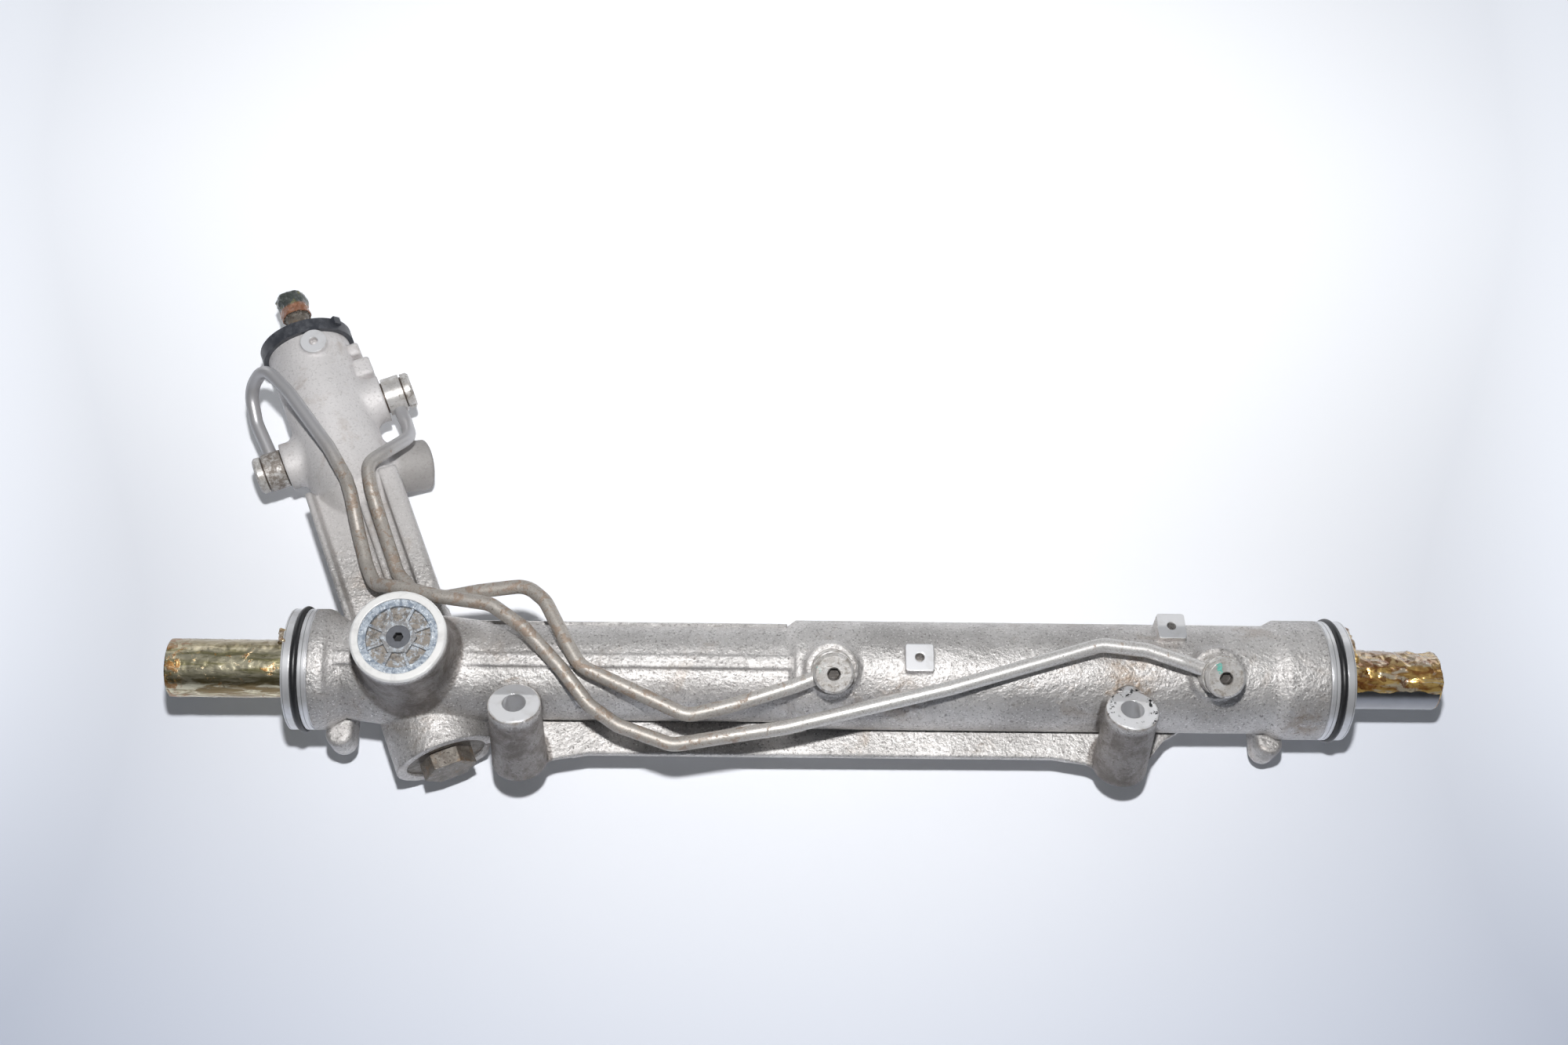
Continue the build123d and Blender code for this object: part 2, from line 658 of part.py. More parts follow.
def pinion_section():
    """The pinion's tooth outline, with one tooth pointing straight at the rack."""
    pressure = math.radians(PRESSURE_ANGLE)
    base = PITCH_R * math.cos(pressure)
    tip = PITCH_R + PINION_ADDENDUM
    root = PITCH_R - RACK_ADDENDUM - TOOTH_CLEARANCE
    half = math.pi / (2 * PINION_TEETH) - BACKLASH / 4 / PITCH_R + involute(pressure)
    flank = [(root, half)]
    for step in range(FLANK_STEPS + 1):
        radius = base + (tip - base) * step / FLANK_STEPS
        flank.append((radius, half - involute(math.acos(base / radius))))
    points = []
    for tooth in range(PINION_TEETH):
        middle = math.pi / 2 + 2 * math.pi * tooth / PINION_TEETH
        for radius, turn in flank:
            points.append((radius, middle - turn))
        for radius, turn in reversed(flank):
            points.append((radius, middle + turn))
    return [(radius * math.cos(turn), radius * math.sin(turn)) for radius, turn in points]


def rack_space():
    """The gap between two rack teeth, in the tower's frame, at the rest position."""
    slope = math.tan(math.radians(PRESSURE_ANGLE))
    half = TOOTH_PITCH / 4 + BACKLASH / 4
    low = -RACK_ADDENDUM - 1
    high = PINION_ADDENDUM + TOOTH_CLEARANCE
    level = PITCH_R
    return [
        (half - low * slope, level + low),
        (half - high * slope, level + high),
        (-half + high * slope, level + high),
        (-half + low * slope, level + low),
    ]


def rack_bar():
    length = HOUSING_LENGTH + RACK_LEFT_REACH + RACK_RIGHT_REACH
    left = -RACK_LEFT_REACH
    bar = rod(RACK_FRAME, left, length, RACK_DIA)
    bar = chamfer(bar.edges(), RACK_END_CHAMFER)
    pitch_x = TOOTH_PITCH / math.cos(lean)
    mesh = (PITCH_R + PINION_ADDENDUM) / math.cos(lean)
    first = -math.ceil((RACK_TRAVEL_LEFT + mesh) / pitch_x)
    last = math.ceil((RACK_TRAVEL_RIGHT + mesh) / pitch_x)
    skew = RACK_R * math.tan(lean) + pitch_x / 2
    bar -= slab(
        (PINION_X - last * pitch_x - skew, -RACK_R, -RACK_R),
        (PINION_X - first * pitch_x + skew, RACK_R, -PITCH_LINE_DROP - RACK_ADDENDUM),
    )
    spaces = []
    for step in range(first, last + 1):
        along = step * TOOTH_PITCH * math.tan(lean)
        place = TOWER_FRAME * Pos(step * TOOTH_PITCH, 0, along - RACK_DIA)
        spaces.append(extrude(make_face(place * Polyline(*rack_space(), close=True)), 2 * RACK_DIA))
    bar -= spaces
    for start in (left, left + length - TIE_ROD_HOLE_DEPTH):
        bar -= rod(RACK_FRAME, start, TIE_ROD_HOLE_DEPTH, TIE_ROD_HOLE_DIA)
    return bar


def needle_seat_end():
    """Where the pinion's smooth journal ends, above its needle bearing and seal."""
    return PINION_FACE_WIDTH / 2 + 2 + NEEDLE_BEARING_WIDTH + PINION_SEAL_WIDTH + 1


def pinion():
    """Pinion shaft: threaded foot, bearing seats, teeth, stem and the hollow head under the valve."""
    face = PINION_FACE_WIDTH / 2
    foot = SKIRT_END + PLUG_BORE_DEPTH
    nut = foot - PINION_NUT_HEIGHT
    thread = LOWER_BEARING_BORE / 2 - 2
    seat = LOWER_BEARING_BORE / 2
    seat_end = foot + LOWER_BEARING_WIDTH
    root = PITCH_R - RACK_ADDENDUM - TOOTH_CLEARANCE
    journal_end = needle_seat_end()
    stem = PINION_STEM_DIA / 2
    head = PINION_HEAD_DIA / 2
    head_end = VALVE_START + PINION_HEAD_LENGTH
    shaft = turned(TOWER_FRAME, [
        (0, nut),
        (thread - 0.5, nut),
        (thread, nut + 0.5),
        (thread, foot),
        (seat, foot),
        (seat, seat_end),
        (seat + 1.5, seat_end),
        (seat + 1.5, -face),
        (root, -face),
        (root, face),
        (NEEDLE_JOURNAL_DIA / 2, face),
        (NEEDLE_JOURNAL_DIA / 2, journal_end),
        (stem, journal_end + 2),
        (stem, VALVE_START - 6),
        (head - 4, VALVE_START - 3),
        (head - 4, VALVE_START),
        (head, VALVE_START),
        (head, head_end),
        (0, head_end),
    ])
    teeth = make_face(TOWER_FRAME * Pos(0, 0, -face) * Polyline(*pinion_section(), close=True))
    shaft += extrude(teeth, PINION_FACE_WIDTH)
    shaft -= rod(TOWER_FRAME, TORSION_BAR_START, head_end, TORSION_BAR_DIA)
    shaft -= rod(TOWER_FRAME, VALVE_START - 1, head_end, SPOOL_NOSE_DIA + 2 * RUNNING_CLEARANCE)
    return shaft


def pinion_nut():
    foot = SKIRT_END + PLUG_BORE_DEPTH
    nut = hex_bar(TOWER_FRAME, foot - PINION_NUT_HEIGHT + 1, PINION_NUT_HEIGHT - 1, PINION_NUT_HEX)
    return nut - rod(TOWER_FRAME, foot - PINION_NUT_HEIGHT, PINION_NUT_HEIGHT, LOWER_BEARING_BORE - 4)


def valve_sleeve():
    head = VALVE_START + PINION_HEAD_LENGTH
    sleeve = rod(TOWER_FRAME, VALVE_START, VALVE_LENGTH, VALVE_BORE_DIA - 2 * RUNNING_CLEARANCE)
    sleeve -= rod(TOWER_FRAME, VALVE_START, PINION_HEAD_LENGTH, PINION_HEAD_DIA)
    sleeve -= rod(TOWER_FRAME, head, VALVE_LENGTH, SPOOL_DIA + 2 * RUNNING_CLEARANCE)
    groove = VALVE_BORE_DIA - 2 * SLEEVE_RING_DEPTH
    for start in sleeve_ring_starts():
        sleeve -= ring(TOWER_FRAME, start, SLEEVE_RING_WIDTH, VALVE_BORE_DIA + 2, groove)
    return sleeve


def sleeve_ring_starts():
    step = VALVE_LENGTH / SLEEVE_RING_COUNT
    return [VALVE_START + step * (n + 0.5) - SLEEVE_RING_WIDTH / 2 for n in range(SLEEVE_RING_COUNT)]


def sleeve_rings():
    outer = VALVE_BORE_DIA - 2 * RUNNING_CLEARANCE
    inner = VALVE_BORE_DIA - 2 * SLEEVE_RING_DEPTH
    starts = sleeve_ring_starts()
    return Compound([ring(TOWER_FRAME, start, SLEEVE_RING_WIDTH, outer, inner) for start in starts])


def input_shaft():
    """Splined input shaft, whose lower end is the spool of the rotary valve."""
    head = VALVE_START + PINION_HEAD_LENGTH
    neck_end = INPUT_TOP - SPLINE_LENGTH
    neck = neck_end - SPLINE_NECK_LENGTH
    nose, spool, journal = SPOOL_NOSE_DIA / 2, SPOOL_DIA / 2, INPUT_JOURNAL_DIA / 2
    root, waist = SPLINE_ROOT_DIA / 2, SPLINE_NECK_DIA / 2
    shaft = turned(TOWER_FRAME, [
        (0, VALVE_START + 1),
        (nose, VALVE_START + 1),
        (nose, head + 0.3),
        (spool, head + 0.3),
        (spool, VALVE_END),
        (journal, VALVE_END + 1),
        (journal, neck - 2),
        (waist, neck),
        (waist, neck_end),
        (root, neck_end + 0.5),
        (root, INPUT_TOP - 1),
        (root - 1, INPUT_TOP),
        (0, INPUT_TOP),
    ])
    tooth_width = math.pi * SPLINE_ROOT_DIA / SPLINE_TEETH / 2
    ridge = Box(SPLINE_DIA / 2 - 1, tooth_width, SPLINE_LENGTH - 2, align=OUTWARDS)
    shaft += [
        TOWER_FRAME * Pos(0, 0, neck_end + 1) * Rot(0, 0, 360 * n / SPLINE_TEETH) * Pos(1, 0, 0) * ridge
        for n in range(SPLINE_TEETH)
    ]
    depth = INPUT_TOP - TORSION_BAR_SINK + 2 - VALVE_START
    shaft -= rod(TOWER_FRAME, VALVE_START, depth, TORSION_BAR_DIA + TORSION_BAR_PLAY)
    return shaft - torsion_pin()


def torsion_bar():
    length = INPUT_TOP - TORSION_BAR_SINK - TORSION_BAR_START
    bar = rod(TOWER_FRAME, TORSION_BAR_START, length, TORSION_BAR_DIA)
    slack = TORSION_PIN_DIA + TORSION_BAR_PLAY
    return bar - rod(tower_side(torsion_pin_s(), 1), -TORSION_BAR_DIA, 2 * TORSION_BAR_DIA, slack)


def torsion_pin_s():
    return TOWER_TOP - DUST_CAP_LAP + DUST_CAP_WIDTH + TORSION_PIN_DIA


def torsion_pin():
    reach = INPUT_JOURNAL_DIA / 2 - 0.5
    return rod(tower_side(torsion_pin_s(), 1), -reach, 2 * reach, TORSION_PIN_DIA)


def lower_bearing():
    """The deep groove ball bearing on the pinion's foot: outer race, inner race and balls."""
    start = SKIRT_END + PLUG_BORE_DEPTH
    middle = start + LOWER_BEARING_WIDTH / 2
    track = (LOWER_BEARING_DIA + LOWER_BEARING_BORE) / 4
    groove = TOWER_FRAME * Pos(0, 0, middle) * Torus(track, BALL_DIA / 2 + BALL_PLAY)
    width = LOWER_BEARING_WIDTH
    outer = ring(TOWER_FRAME, start, width, LOWER_BEARING_DIA, LOWER_BEARING_DIA - 2 * BEARING_RACE)
    inner = ring(TOWER_FRAME, start, width, LOWER_BEARING_BORE + 2 * BEARING_RACE, LOWER_BEARING_BORE)
    circle = TOWER_FRAME * Pos(0, 0, middle)
    ball = Pos(track, 0, 0) * Sphere(BALL_DIA / 2)
    balls = [circle * Rot(0, 0, 360 * n / BALL_COUNT) * ball for n in range(BALL_COUNT)]
    return {
        "lower_bearing_outer_race": outer - groove,
        "lower_bearing_inner_race": inner - groove,
        "lower_bearing_balls": Compound(balls),
    }


def tower_fixed_parts():
    """Bearings, seals, plug and cap that stay with the tower."""
    needle = PINION_FACE_WIDTH / 2 + 2
    needle_dia = NEEDLE_BEARING_DIA
    seal = needle + NEEDLE_BEARING_WIDTH
    journal = NEEDLE_JOURNAL_DIA + 2 * RUNNING_CLEARANCE
    upper = VALVE_END + UPPER_BEARING_GAP
    upper_dia = UPPER_BEARING_DIA
    input_fit = INPUT_JOURNAL_DIA + 2 * RUNNING_CLEARANCE
    clip = INPUT_SEAL_START + INPUT_SEAL_WIDTH
    plug_start = SKIRT_END + LOWER_PLUG_SINK
    plug_depth = PLUG_BORE_DEPTH - LOWER_PLUG_SINK - PINION_NUT_HEIGHT - 1
    lower_plug = rod(TOWER_FRAME, plug_start, plug_depth, PLUG_BORE_DIA)
    collar = PLUG_BORE_DEPTH - LOWER_PLUG_SINK
    lower_plug += ring(TOWER_FRAME, plug_start, collar, PLUG_BORE_DIA, LOWER_BEARING_DIA - 4)
    hexagon = hex_bar(TOWER_FRAME, plug_start - LOWER_HEX_HEIGHT, LOWER_HEX_HEIGHT, LOWER_HEX)
    lower_plug += hexagon
    cap_start = TOWER_TOP - DUST_CAP_LAP
    cap_end = cap_start + DUST_CAP_WIDTH
    dust_cap = ring(TOWER_FRAME, cap_start, DUST_CAP_WIDTH, DUST_CAP_DIA, TOWER_BODY_DIA)
    lid_start = cap_end - DUST_CAP_LID
    dust_cap += ring(TOWER_FRAME, lid_start, DUST_CAP_LID, DUST_CAP_DIA, INPUT_JOURNAL_DIA + 1)
    tab = Box(DUST_CAP_TAB, DUST_CAP_TAB, DUST_CAP_WIDTH - DUST_CAP_LAP, align=HUNG_BELOW)
    rim = TOWER_FRAME * Pos(0, 0, cap_end) * Rot(0, 0, DUST_CAP_TAB_TURN)
    dust_cap += rim * Pos(DUST_CAP_DIA / 2, 0, 0) * tab
    return {
        "pinion_needle_bearing": ring(TOWER_FRAME, needle, NEEDLE_BEARING_WIDTH, needle_dia, journal),
        "pinion_shaft_seal": ring(TOWER_FRAME, seal, PINION_SEAL_WIDTH, needle_dia, journal),
        "upper_bearing": ring(TOWER_FRAME, upper, UPPER_BEARING_WIDTH, upper_dia, input_fit),
        "input_shaft_seal": ring(TOWER_FRAME, INPUT_SEAL_START, INPUT_SEAL_WIDTH, upper_dia, input_fit),
        "seal_retaining_ring": ring(TOWER_FRAME, clip, RETAINING_RING_WIDTH, upper_dia, upper_dia - 8),
        "lower_plug": lower_plug,
        "dust_cap": dust_cap,
    }


def yoke_parts():
    """The sprung pressure piece that holds the rack against the pinion, and its plug."""
    saddle = RACK_DIA + 2 * (RUNNING_CLEARANCE + YOKE_LINER)
    bore = YOKE_BORE_DIA - 2 * ASSEMBLY_CLEARANCE
    top = RACK_R + YOKE_HEIGHT
    block = rod(YOKE_FRAME, 2, top - 2, bore)
    groove = top - 8
    yoke = block - rod(RACK_FRAME, PINION_X - RACK_DIA, 2 * RACK_DIA, saddle)
    yoke -= ring(YOKE_FRAME, groove, YOKE_RING_DIA, YOKE_BORE_DIA + 2, YOKE_BORE_DIA - 2 * YOKE_RING_DIA)
    yoke -= rod(YOKE_FRAME, top - 5, 6, YOKE_SPRING_DIA)
    liner = rod(RACK_FRAME, PINION_X - RACK_DIA, 2 * RACK_DIA, saddle)
    liner -= rod(RACK_FRAME, PINION_X - RACK_DIA, 2 * RACK_DIA, saddle - 2 * YOKE_LINER)
    liner = liner & rod(YOKE_FRAME, 5, top, bore - 2)
    plug_top = YOKE_BOSS_TOP - YOKE_PLUG_SINK
    plug_low = plug_top - YOKE_PLUG_THICKNESS
    spring_low = top - 5
    outer, inner = YOKE_SPRING_DIA / 2 - 0.3, YOKE_SPRING_DIA / 4
    rise = (plug_low - spring_low) / 3
    waist = spring_low + rise + 1
    spring = turned(YOKE_FRAME, [
        (outer, spring_low),
        (outer, spring_low + 1),
        (inner, waist),
        (outer, plug_low - rise),
        (outer, plug_low),
        (outer - 1.5, plug_low),
        (inner - 1.5, waist),
        (outer - 1.5, spring_low),
    ])
    seal = Torus((YOKE_BORE_DIA - YOKE_RING_DIA) / 2, YOKE_RING_DIA / 2 - RUNNING_CLEARANCE)
    ring_seal = YOKE_FRAME * Pos(0, 0, groove + YOKE_RING_DIA / 2) * seal
    return {
        "yoke": yoke,
        "yoke_liner": liner,
        "yoke_spring": spring,
        "yoke_ring_seal": ring_seal,
        "yoke_plug": yoke_plug(plug_low, plug_top),
        "yoke_plug_screw": yoke_screw(plug_low, plug_top),
    }


def yoke_plug(low, top):
    recess = YOKE_PLUG_DIA - 2 * YOKE_PLUG_RIM
    plug = rod(YOKE_FRAME, low, top - low, YOKE_PLUG_DIA)
    plug -= rod(YOKE_FRAME, top - YOKE_PLUG_RECESS, YOKE_PLUG_RECESS + 1, recess)
    plug += hex_bar(YOKE_FRAME, top - YOKE_PLUG_RECESS, YOKE_PLUG_RECESS, YOKE_HEX)
    reach = recess / 2 - YOKE_HEX / 2 + 0.6
    rib = Box(reach, YOKE_PLUG_RIB_WIDTH, YOKE_PLUG_RECESS, align=OUTWARDS)
    plug += [
        YOKE_FRAME * Pos(0, 0, top - YOKE_PLUG_RECESS) * Rot(0, 0, 360 * (n + 0.5) / YOKE_PLUG_RIBS)
        * Pos(YOKE_HEX / 2 - 0.3, 0, -0.8) * rib
        for n in range(YOKE_PLUG_RIBS)
    ]
    return plug - rod(YOKE_FRAME, low - 1, top, YOKE_SCREW_DIA)


def yoke_screw(low, top):
    screw = rod(YOKE_FRAME, low, top - low - 0.4, YOKE_SCREW_DIA)
    return screw - hex_bar(YOKE_FRAME, top - 5, 6, YOKE_SCREW_SOCKET)


def cylinder_parts():
    """Seals, bush and piston of the hydraulic cylinder."""
    start = TUBE_STEP_X + CAST_STEP
    end = HOUSING_LENGTH - MOUTH_DEPTH_RIGHT
    bore = CYLINDER_BORE_DIA
    fit = RACK_DIA + 2 * RUNNING_CLEARANCE
    bush_start = end - END_BUSH_LENGTH
    bush = ring(RACK_FRAME, bush_start + RACK_SEAL_WIDTH, END_BUSH_LENGTH - RACK_SEAL_WIDTH, bore, fit)
    groove_x = bush_start + END_BUSH_LENGTH / 2
    bush -= ring(RACK_FRAME, groove_x, 3, bore + 2, bore - 5)
    piston_dia = bore - 2 * RUNNING_CLEARANCE
    left = PISTON_X - PISTON_WIDTH / 2
    ring_start = PISTON_X - PISTON_RING_WIDTH / 2
    groove_dia = piston_dia - 2 * PISTON_RING_DEPTH
    piston = ring(RACK_FRAME, left, PISTON_WIDTH, piston_dia, RACK_DIA)
    piston -= ring(RACK_FRAME, ring_start, PISTON_RING_WIDTH, bore + 2, groove_dia)
    wire = CLIP_WIRE_DIA / 2
    return {
        "inner_rack_seal": ring(RACK_FRAME, start + SEAL_SUPPORT_WIDTH, RACK_SEAL_WIDTH, bore, fit),
        "inner_seal_support": ring(RACK_FRAME, start, SEAL_SUPPORT_WIDTH, bore, fit),
        "outer_rack_seal": ring(RACK_FRAME, bush_start, RACK_SEAL_WIDTH, bore, fit),
        "end_bush": bush,
        "end_bush_ring_seal": ring(RACK_FRAME, groove_x + 0.1, 2.8, bore, bore - 5),
        "end_bush_clip": RACK_FRAME * Pos(0, 0, end + wire) * Torus(MOUTH_DIA / 2 - wire - 0.6, wire),
        "piston": piston,
        "piston_ring": ring(RACK_FRAME, ring_start, PISTON_RING_WIDTH, piston_dia, groove_dia),
        "piston_clips": Compound([
            ring(RACK_FRAME, left - 2, 2, RACK_DIA + 4, RACK_DIA),
            ring(RACK_FRAME, left + PISTON_WIDTH, 2, RACK_DIA + 4, RACK_DIA),
        ]),
    }


def boot_rings():
    """Round rubber rings in the grooves of the boot seats, standing proud of the lands."""
    radius = RING_GROOVE_WIDTH / 2 - 0.1
    major = SEAT_DIA / 2 - RING_GROOVE_DEPTH + radius
    near = SEAT_LIP + RING_GROOVE_WIDTH / 2
    return {
        "left_boot_ring": RACK_FRAME * Pos(0, 0, near) * Torus(major, radius),
        "right_boot_ring": RACK_FRAME * Pos(0, 0, HOUSING_LENGTH - near) * Torus(major, radius),
    }


def banjo_bolt(frame, height):
    """A banjo bolt with a round head and a hexagon socket, screwed in above a port."""
    under_head = height + BANJO_HEIGHT + 2 * WASHER_THICKNESS
    tip = height - BANJO_BOLT_GRIP + 1
    bolt = rod(frame, tip, under_head - tip, BANJO_BOLT_DIA)
    radius = BANJO_DIA / 2 - 0.4
    top = under_head + BANJO_HEAD_HEIGHT
    bolt += turned(frame, [
        (0, under_head),
        (radius, under_head),
        (radius, top - BANJO_HEAD_BEVEL),
        (radius - BANJO_HEAD_BEVEL, top),
        (0, top),
    ])
    return bolt - hex_bar(frame, top - BANJO_SOCKET_DEPTH, BANJO_SOCKET_DEPTH + 1, BANJO_SOCKET)


def banjo_bolts():
    return Compound([banjo_bolt(frame, height) for frame, height in FITTINGS.values()])


def banjo_washers():
    discs = []
    for frame, height in FITTINGS.values():
        for start in (height, height + WASHER_THICKNESS + BANJO_HEIGHT):
            discs.append(ring(frame, start, WASHER_THICKNESS, WASHER_DIA, BANJO_BOLT_DIA))
    return Compound(discs)


def banjo_centre(name):
    frame, height = FITTINGS[name]
    return (frame * Pos(0, 0, height + WASHER_THICKNESS + BANJO_HEIGHT / 2)).position


def banjo(name, pipe):
    frame, height = FITTINGS[name]
    body = ring(frame, height + WASHER_THICKNESS, BANJO_HEIGHT, BANJO_DIA, BANJO_BOLT_DIA)
    return body - pipe


def bend_radii(points):
    """The bender's radius at each corner, or less where the runs beside it are short."""
    places = [Vector(point) for point in points]
    radii = []
    for before, here, after in zip(places, places[1:], places[2:]):
        arriving, leaving = here - before, after - here
        half_turn = math.radians(arriving.get_angle(leaving)) / 2
        room = 0.45 * min(arriving.length, leaving.length)
        radii.append(min(PIPE_BEND_RADIUS, room / math.tan(half_turn)))
    return radii


def pipe(points):
    """A bent steel pipe along straight runs joined by tangent arcs."""
    route = FilletPolyline(*points, radius=bend_radii(points))
    start = Plane(origin=route @ 0, z_dir=route % 0)
    return sweep(start * Circle(PIPE_DIA / 2), path=route)


def banjo_exit(name, turn, distance):
    """A point level with a banjo's middle, at a distance from its axis in the direction of the pipe."""
    frame, _ = FITTINGS[name]
    angle = math.radians(turn)
    return banjo_centre(name) + (frame.x_dir * math.cos(angle) + frame.y_dir * math.sin(angle)) * distance


def long_pipe():
    """From the tower's left port over the tower and the tube to the outer cylinder port."""
    return pipe([
        banjo_exit("left", LEFT_PIPE_TURN, PIPE_GRIP),
        tower_point(42.5, 4, 190),
        tower_point(39.5, 12, 208),
        tower_point(26, 30, 210),
        tower_point(16.5, 32, 186),
        tower_point(5, 31, 144),
        tower_point(1.5, 30, 122),
        tower_point(1.7, 30.3, 111),
        tower_point(5, 22.5, 90),
        tower_point(6.6, 22.5, 68),
        tower_point(5.5, 29, 53),
        (55, 41, 24.5),
        (82, 32.5, 33),
        (112, 27, 36.8),
        (131, 13.5, 37),
        (152, -8.5, 34),
        (168, -28, 28.5),
        (184, -38, 23.5),
        (214, -48, 21),
        (276, -39, 27),
        (366, -18.5, 36),
        (OUTER_PORT_X - 65.3, 5, 43),
        (OUTER_PORT_X - 40.3, 2, 43.6),
        banjo_exit("outer", OUTER_PIPE_TURN, PIPE_GRIP + 14),
        banjo_exit("outer", OUTER_PIPE_TURN, PIPE_GRIP),
    ])


def short_pipe():
    """From the tower's right port down the tower to the inner cylinder port."""
    return pipe([
        banjo_exit("right", RIGHT_PIPE_TURN, PIPE_GRIP),
        tower_point(-41.5, 1, 159),
        tower_point(-41, 13, 143),
        tower_point(-24, 26, 132),
        tower_point(-12.5, 29.5, 127),
        tower_point(-10, 28.6, 112),
        tower_point(-9, 20.5, 94),
        tower_point(-8.3, 20.5, 58),
        (63, 45.5, 7.6),
        (84, 37, 19),
        (104, 38, 27),
        (131, 40, 31.5),
        (142, 30, 34),
        (154, 7, 35.5),
        (163, -8, 35),
        (193, -21, 31.5),
        (222, -33.5, 28),
        (INNER_PORT_X - 54, -28, 31),
        banjo_exit("inner", INNER_PIPE_TURN, PIPE_GRIP + 14),
        banjo_exit("inner", INNER_PIPE_TURN, PIPE_GRIP),
    ])


def write(nodes):
    os.makedirs("parts", exist_ok=True)
    for name, shape in nodes.items():
        export_step(shape, f"parts/{name}.step")


nodes = {"rack_housing": rack_housing(), "rack_bar": rack_bar()}
nodes.update(boot_rings())
nodes.update(cylinder_parts())
nodes.update(yoke_parts())
nodes.update(tower_fixed_parts())
nodes.update(lower_bearing())
nodes["pinion"] = pinion()
nodes["pinion_nut"] = pinion_nut()
nodes["valve_sleeve"] = valve_sleeve()
nodes["sleeve_rings"] = sleeve_rings()
nodes["input_shaft"] = input_shaft()
nodes["torsion_bar"] = torsion_bar()
nodes["torsion_pin"] = torsion_pin()
nodes["long_pipe"] = long_pipe()
nodes["short_pipe"] = short_pipe()
nodes["banjo_bolts"] = banjo_bolts()
nodes["banjo_washers"] = banjo_washers()
nodes["left_tower_banjo"] = banjo("left", nodes["long_pipe"])
nodes["outer_cylinder_banjo"] = banjo("outer", nodes["long_pipe"])
nodes["right_tower_banjo"] = banjo("right", nodes["short_pipe"])
nodes["inner_cylinder_banjo"] = banjo("inner", nodes["short_pipe"])
write(nodes)
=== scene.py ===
import json
import math

import bpy
from mathutils import Matrix, Vector


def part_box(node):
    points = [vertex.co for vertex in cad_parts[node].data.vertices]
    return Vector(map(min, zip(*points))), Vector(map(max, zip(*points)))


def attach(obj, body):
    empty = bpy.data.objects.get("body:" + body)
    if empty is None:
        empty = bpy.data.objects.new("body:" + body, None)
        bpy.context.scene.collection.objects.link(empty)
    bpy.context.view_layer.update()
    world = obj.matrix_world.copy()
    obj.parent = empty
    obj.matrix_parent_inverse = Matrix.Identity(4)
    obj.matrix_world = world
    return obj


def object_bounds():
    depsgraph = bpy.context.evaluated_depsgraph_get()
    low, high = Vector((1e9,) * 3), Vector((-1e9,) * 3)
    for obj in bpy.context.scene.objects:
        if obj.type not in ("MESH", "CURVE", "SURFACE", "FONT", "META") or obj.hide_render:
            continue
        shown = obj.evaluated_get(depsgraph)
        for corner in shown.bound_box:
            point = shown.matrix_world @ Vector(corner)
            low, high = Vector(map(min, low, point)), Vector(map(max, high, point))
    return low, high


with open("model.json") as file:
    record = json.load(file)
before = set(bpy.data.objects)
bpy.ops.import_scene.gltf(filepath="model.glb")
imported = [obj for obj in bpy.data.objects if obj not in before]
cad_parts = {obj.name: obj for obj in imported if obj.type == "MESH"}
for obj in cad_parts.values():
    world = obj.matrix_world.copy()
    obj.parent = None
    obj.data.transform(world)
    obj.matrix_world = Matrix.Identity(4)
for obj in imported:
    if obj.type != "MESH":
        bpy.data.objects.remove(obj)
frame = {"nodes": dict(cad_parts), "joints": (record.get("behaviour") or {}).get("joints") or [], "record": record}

CAD_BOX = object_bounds()
CAD_MIDDLE = (CAD_BOX[0] + CAD_BOX[1]) / 2
MM = 0.001
X_AXIS = Vector((1, 0, 0))
Y_AXIS = Vector((0, 1, 0))
Z_AXIS = Vector((0, 0, 1))
RACK_CENTRE = Vector((0, 0, 0))

# The camera, found from the round faces of the gear
IMAGE_WIDTH = 2000
SENSOR_WIDTH = 36.0
FOCAL_PIXELS = 2237.68
CAMERA_PLACE = Vector((244.70, -311.24, 950.69)) * MM
CAMERA_ELEVATION = math.radians(66.86)
CAMERA_YAW = math.radians(-4.36)
CAMERA_ROLL = math.radians(4.81)
NEAR_CLIP = 0.05

# The floor touches the skirt, the tower's top and the right boot seat
FLOOR_RISE_X = 0.0193
FLOOR_RISE_Y = 0.0105
FLOOR_SIZE = 6.0

# Places on the gear, from the frame
JOINTS = {joint["name"]: joint for joint in frame["joints"]}
MOUNTS = {mount["name"]: mount for mount in frame["record"]["mounts"]}
TOWER_UP = Vector(JOINTS["pinion_turn"]["axis"]).normalized()
SEAT_RIGHT_X = MOUNTS["boot_seat_right"]["pos_m"][0]
BAR_LEFT_X = MOUNTS["tie_rod_left"]["pos_m"][0]
BAR_RIGHT_X = MOUNTS["tie_rod_right"]["pos_m"][0]
BAR_RADIUS = (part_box("rack_bar")[1].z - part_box("rack_bar")[0].z) / 2
YOKE_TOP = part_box("yoke_plug")[1].z
YOKE_MIDDLE = (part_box("yoke_plug")[0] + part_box("yoke_plug")[1]) / 2
SCREW_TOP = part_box("yoke_plug_screw")[1].z
SHAFT_TOP = Vector(MOUNTS["steering_spline"]["pos_m"])
HOSE_PORT = Vector(MOUNTS["return_hose_port"]["pos_m"])
MOUNT_BOLTS = ("subframe_bolt_left", "subframe_bolt_right")
BRACKET_HOLES = ("inner_bracket_hole", "outer_bracket_hole", "tower_bracket_hole")


def mount_line(name):
    """The place and the axis of a mount."""
    return Vector(MOUNTS[name]["pos_m"]), Vector(MOUNTS[name]["axis"])


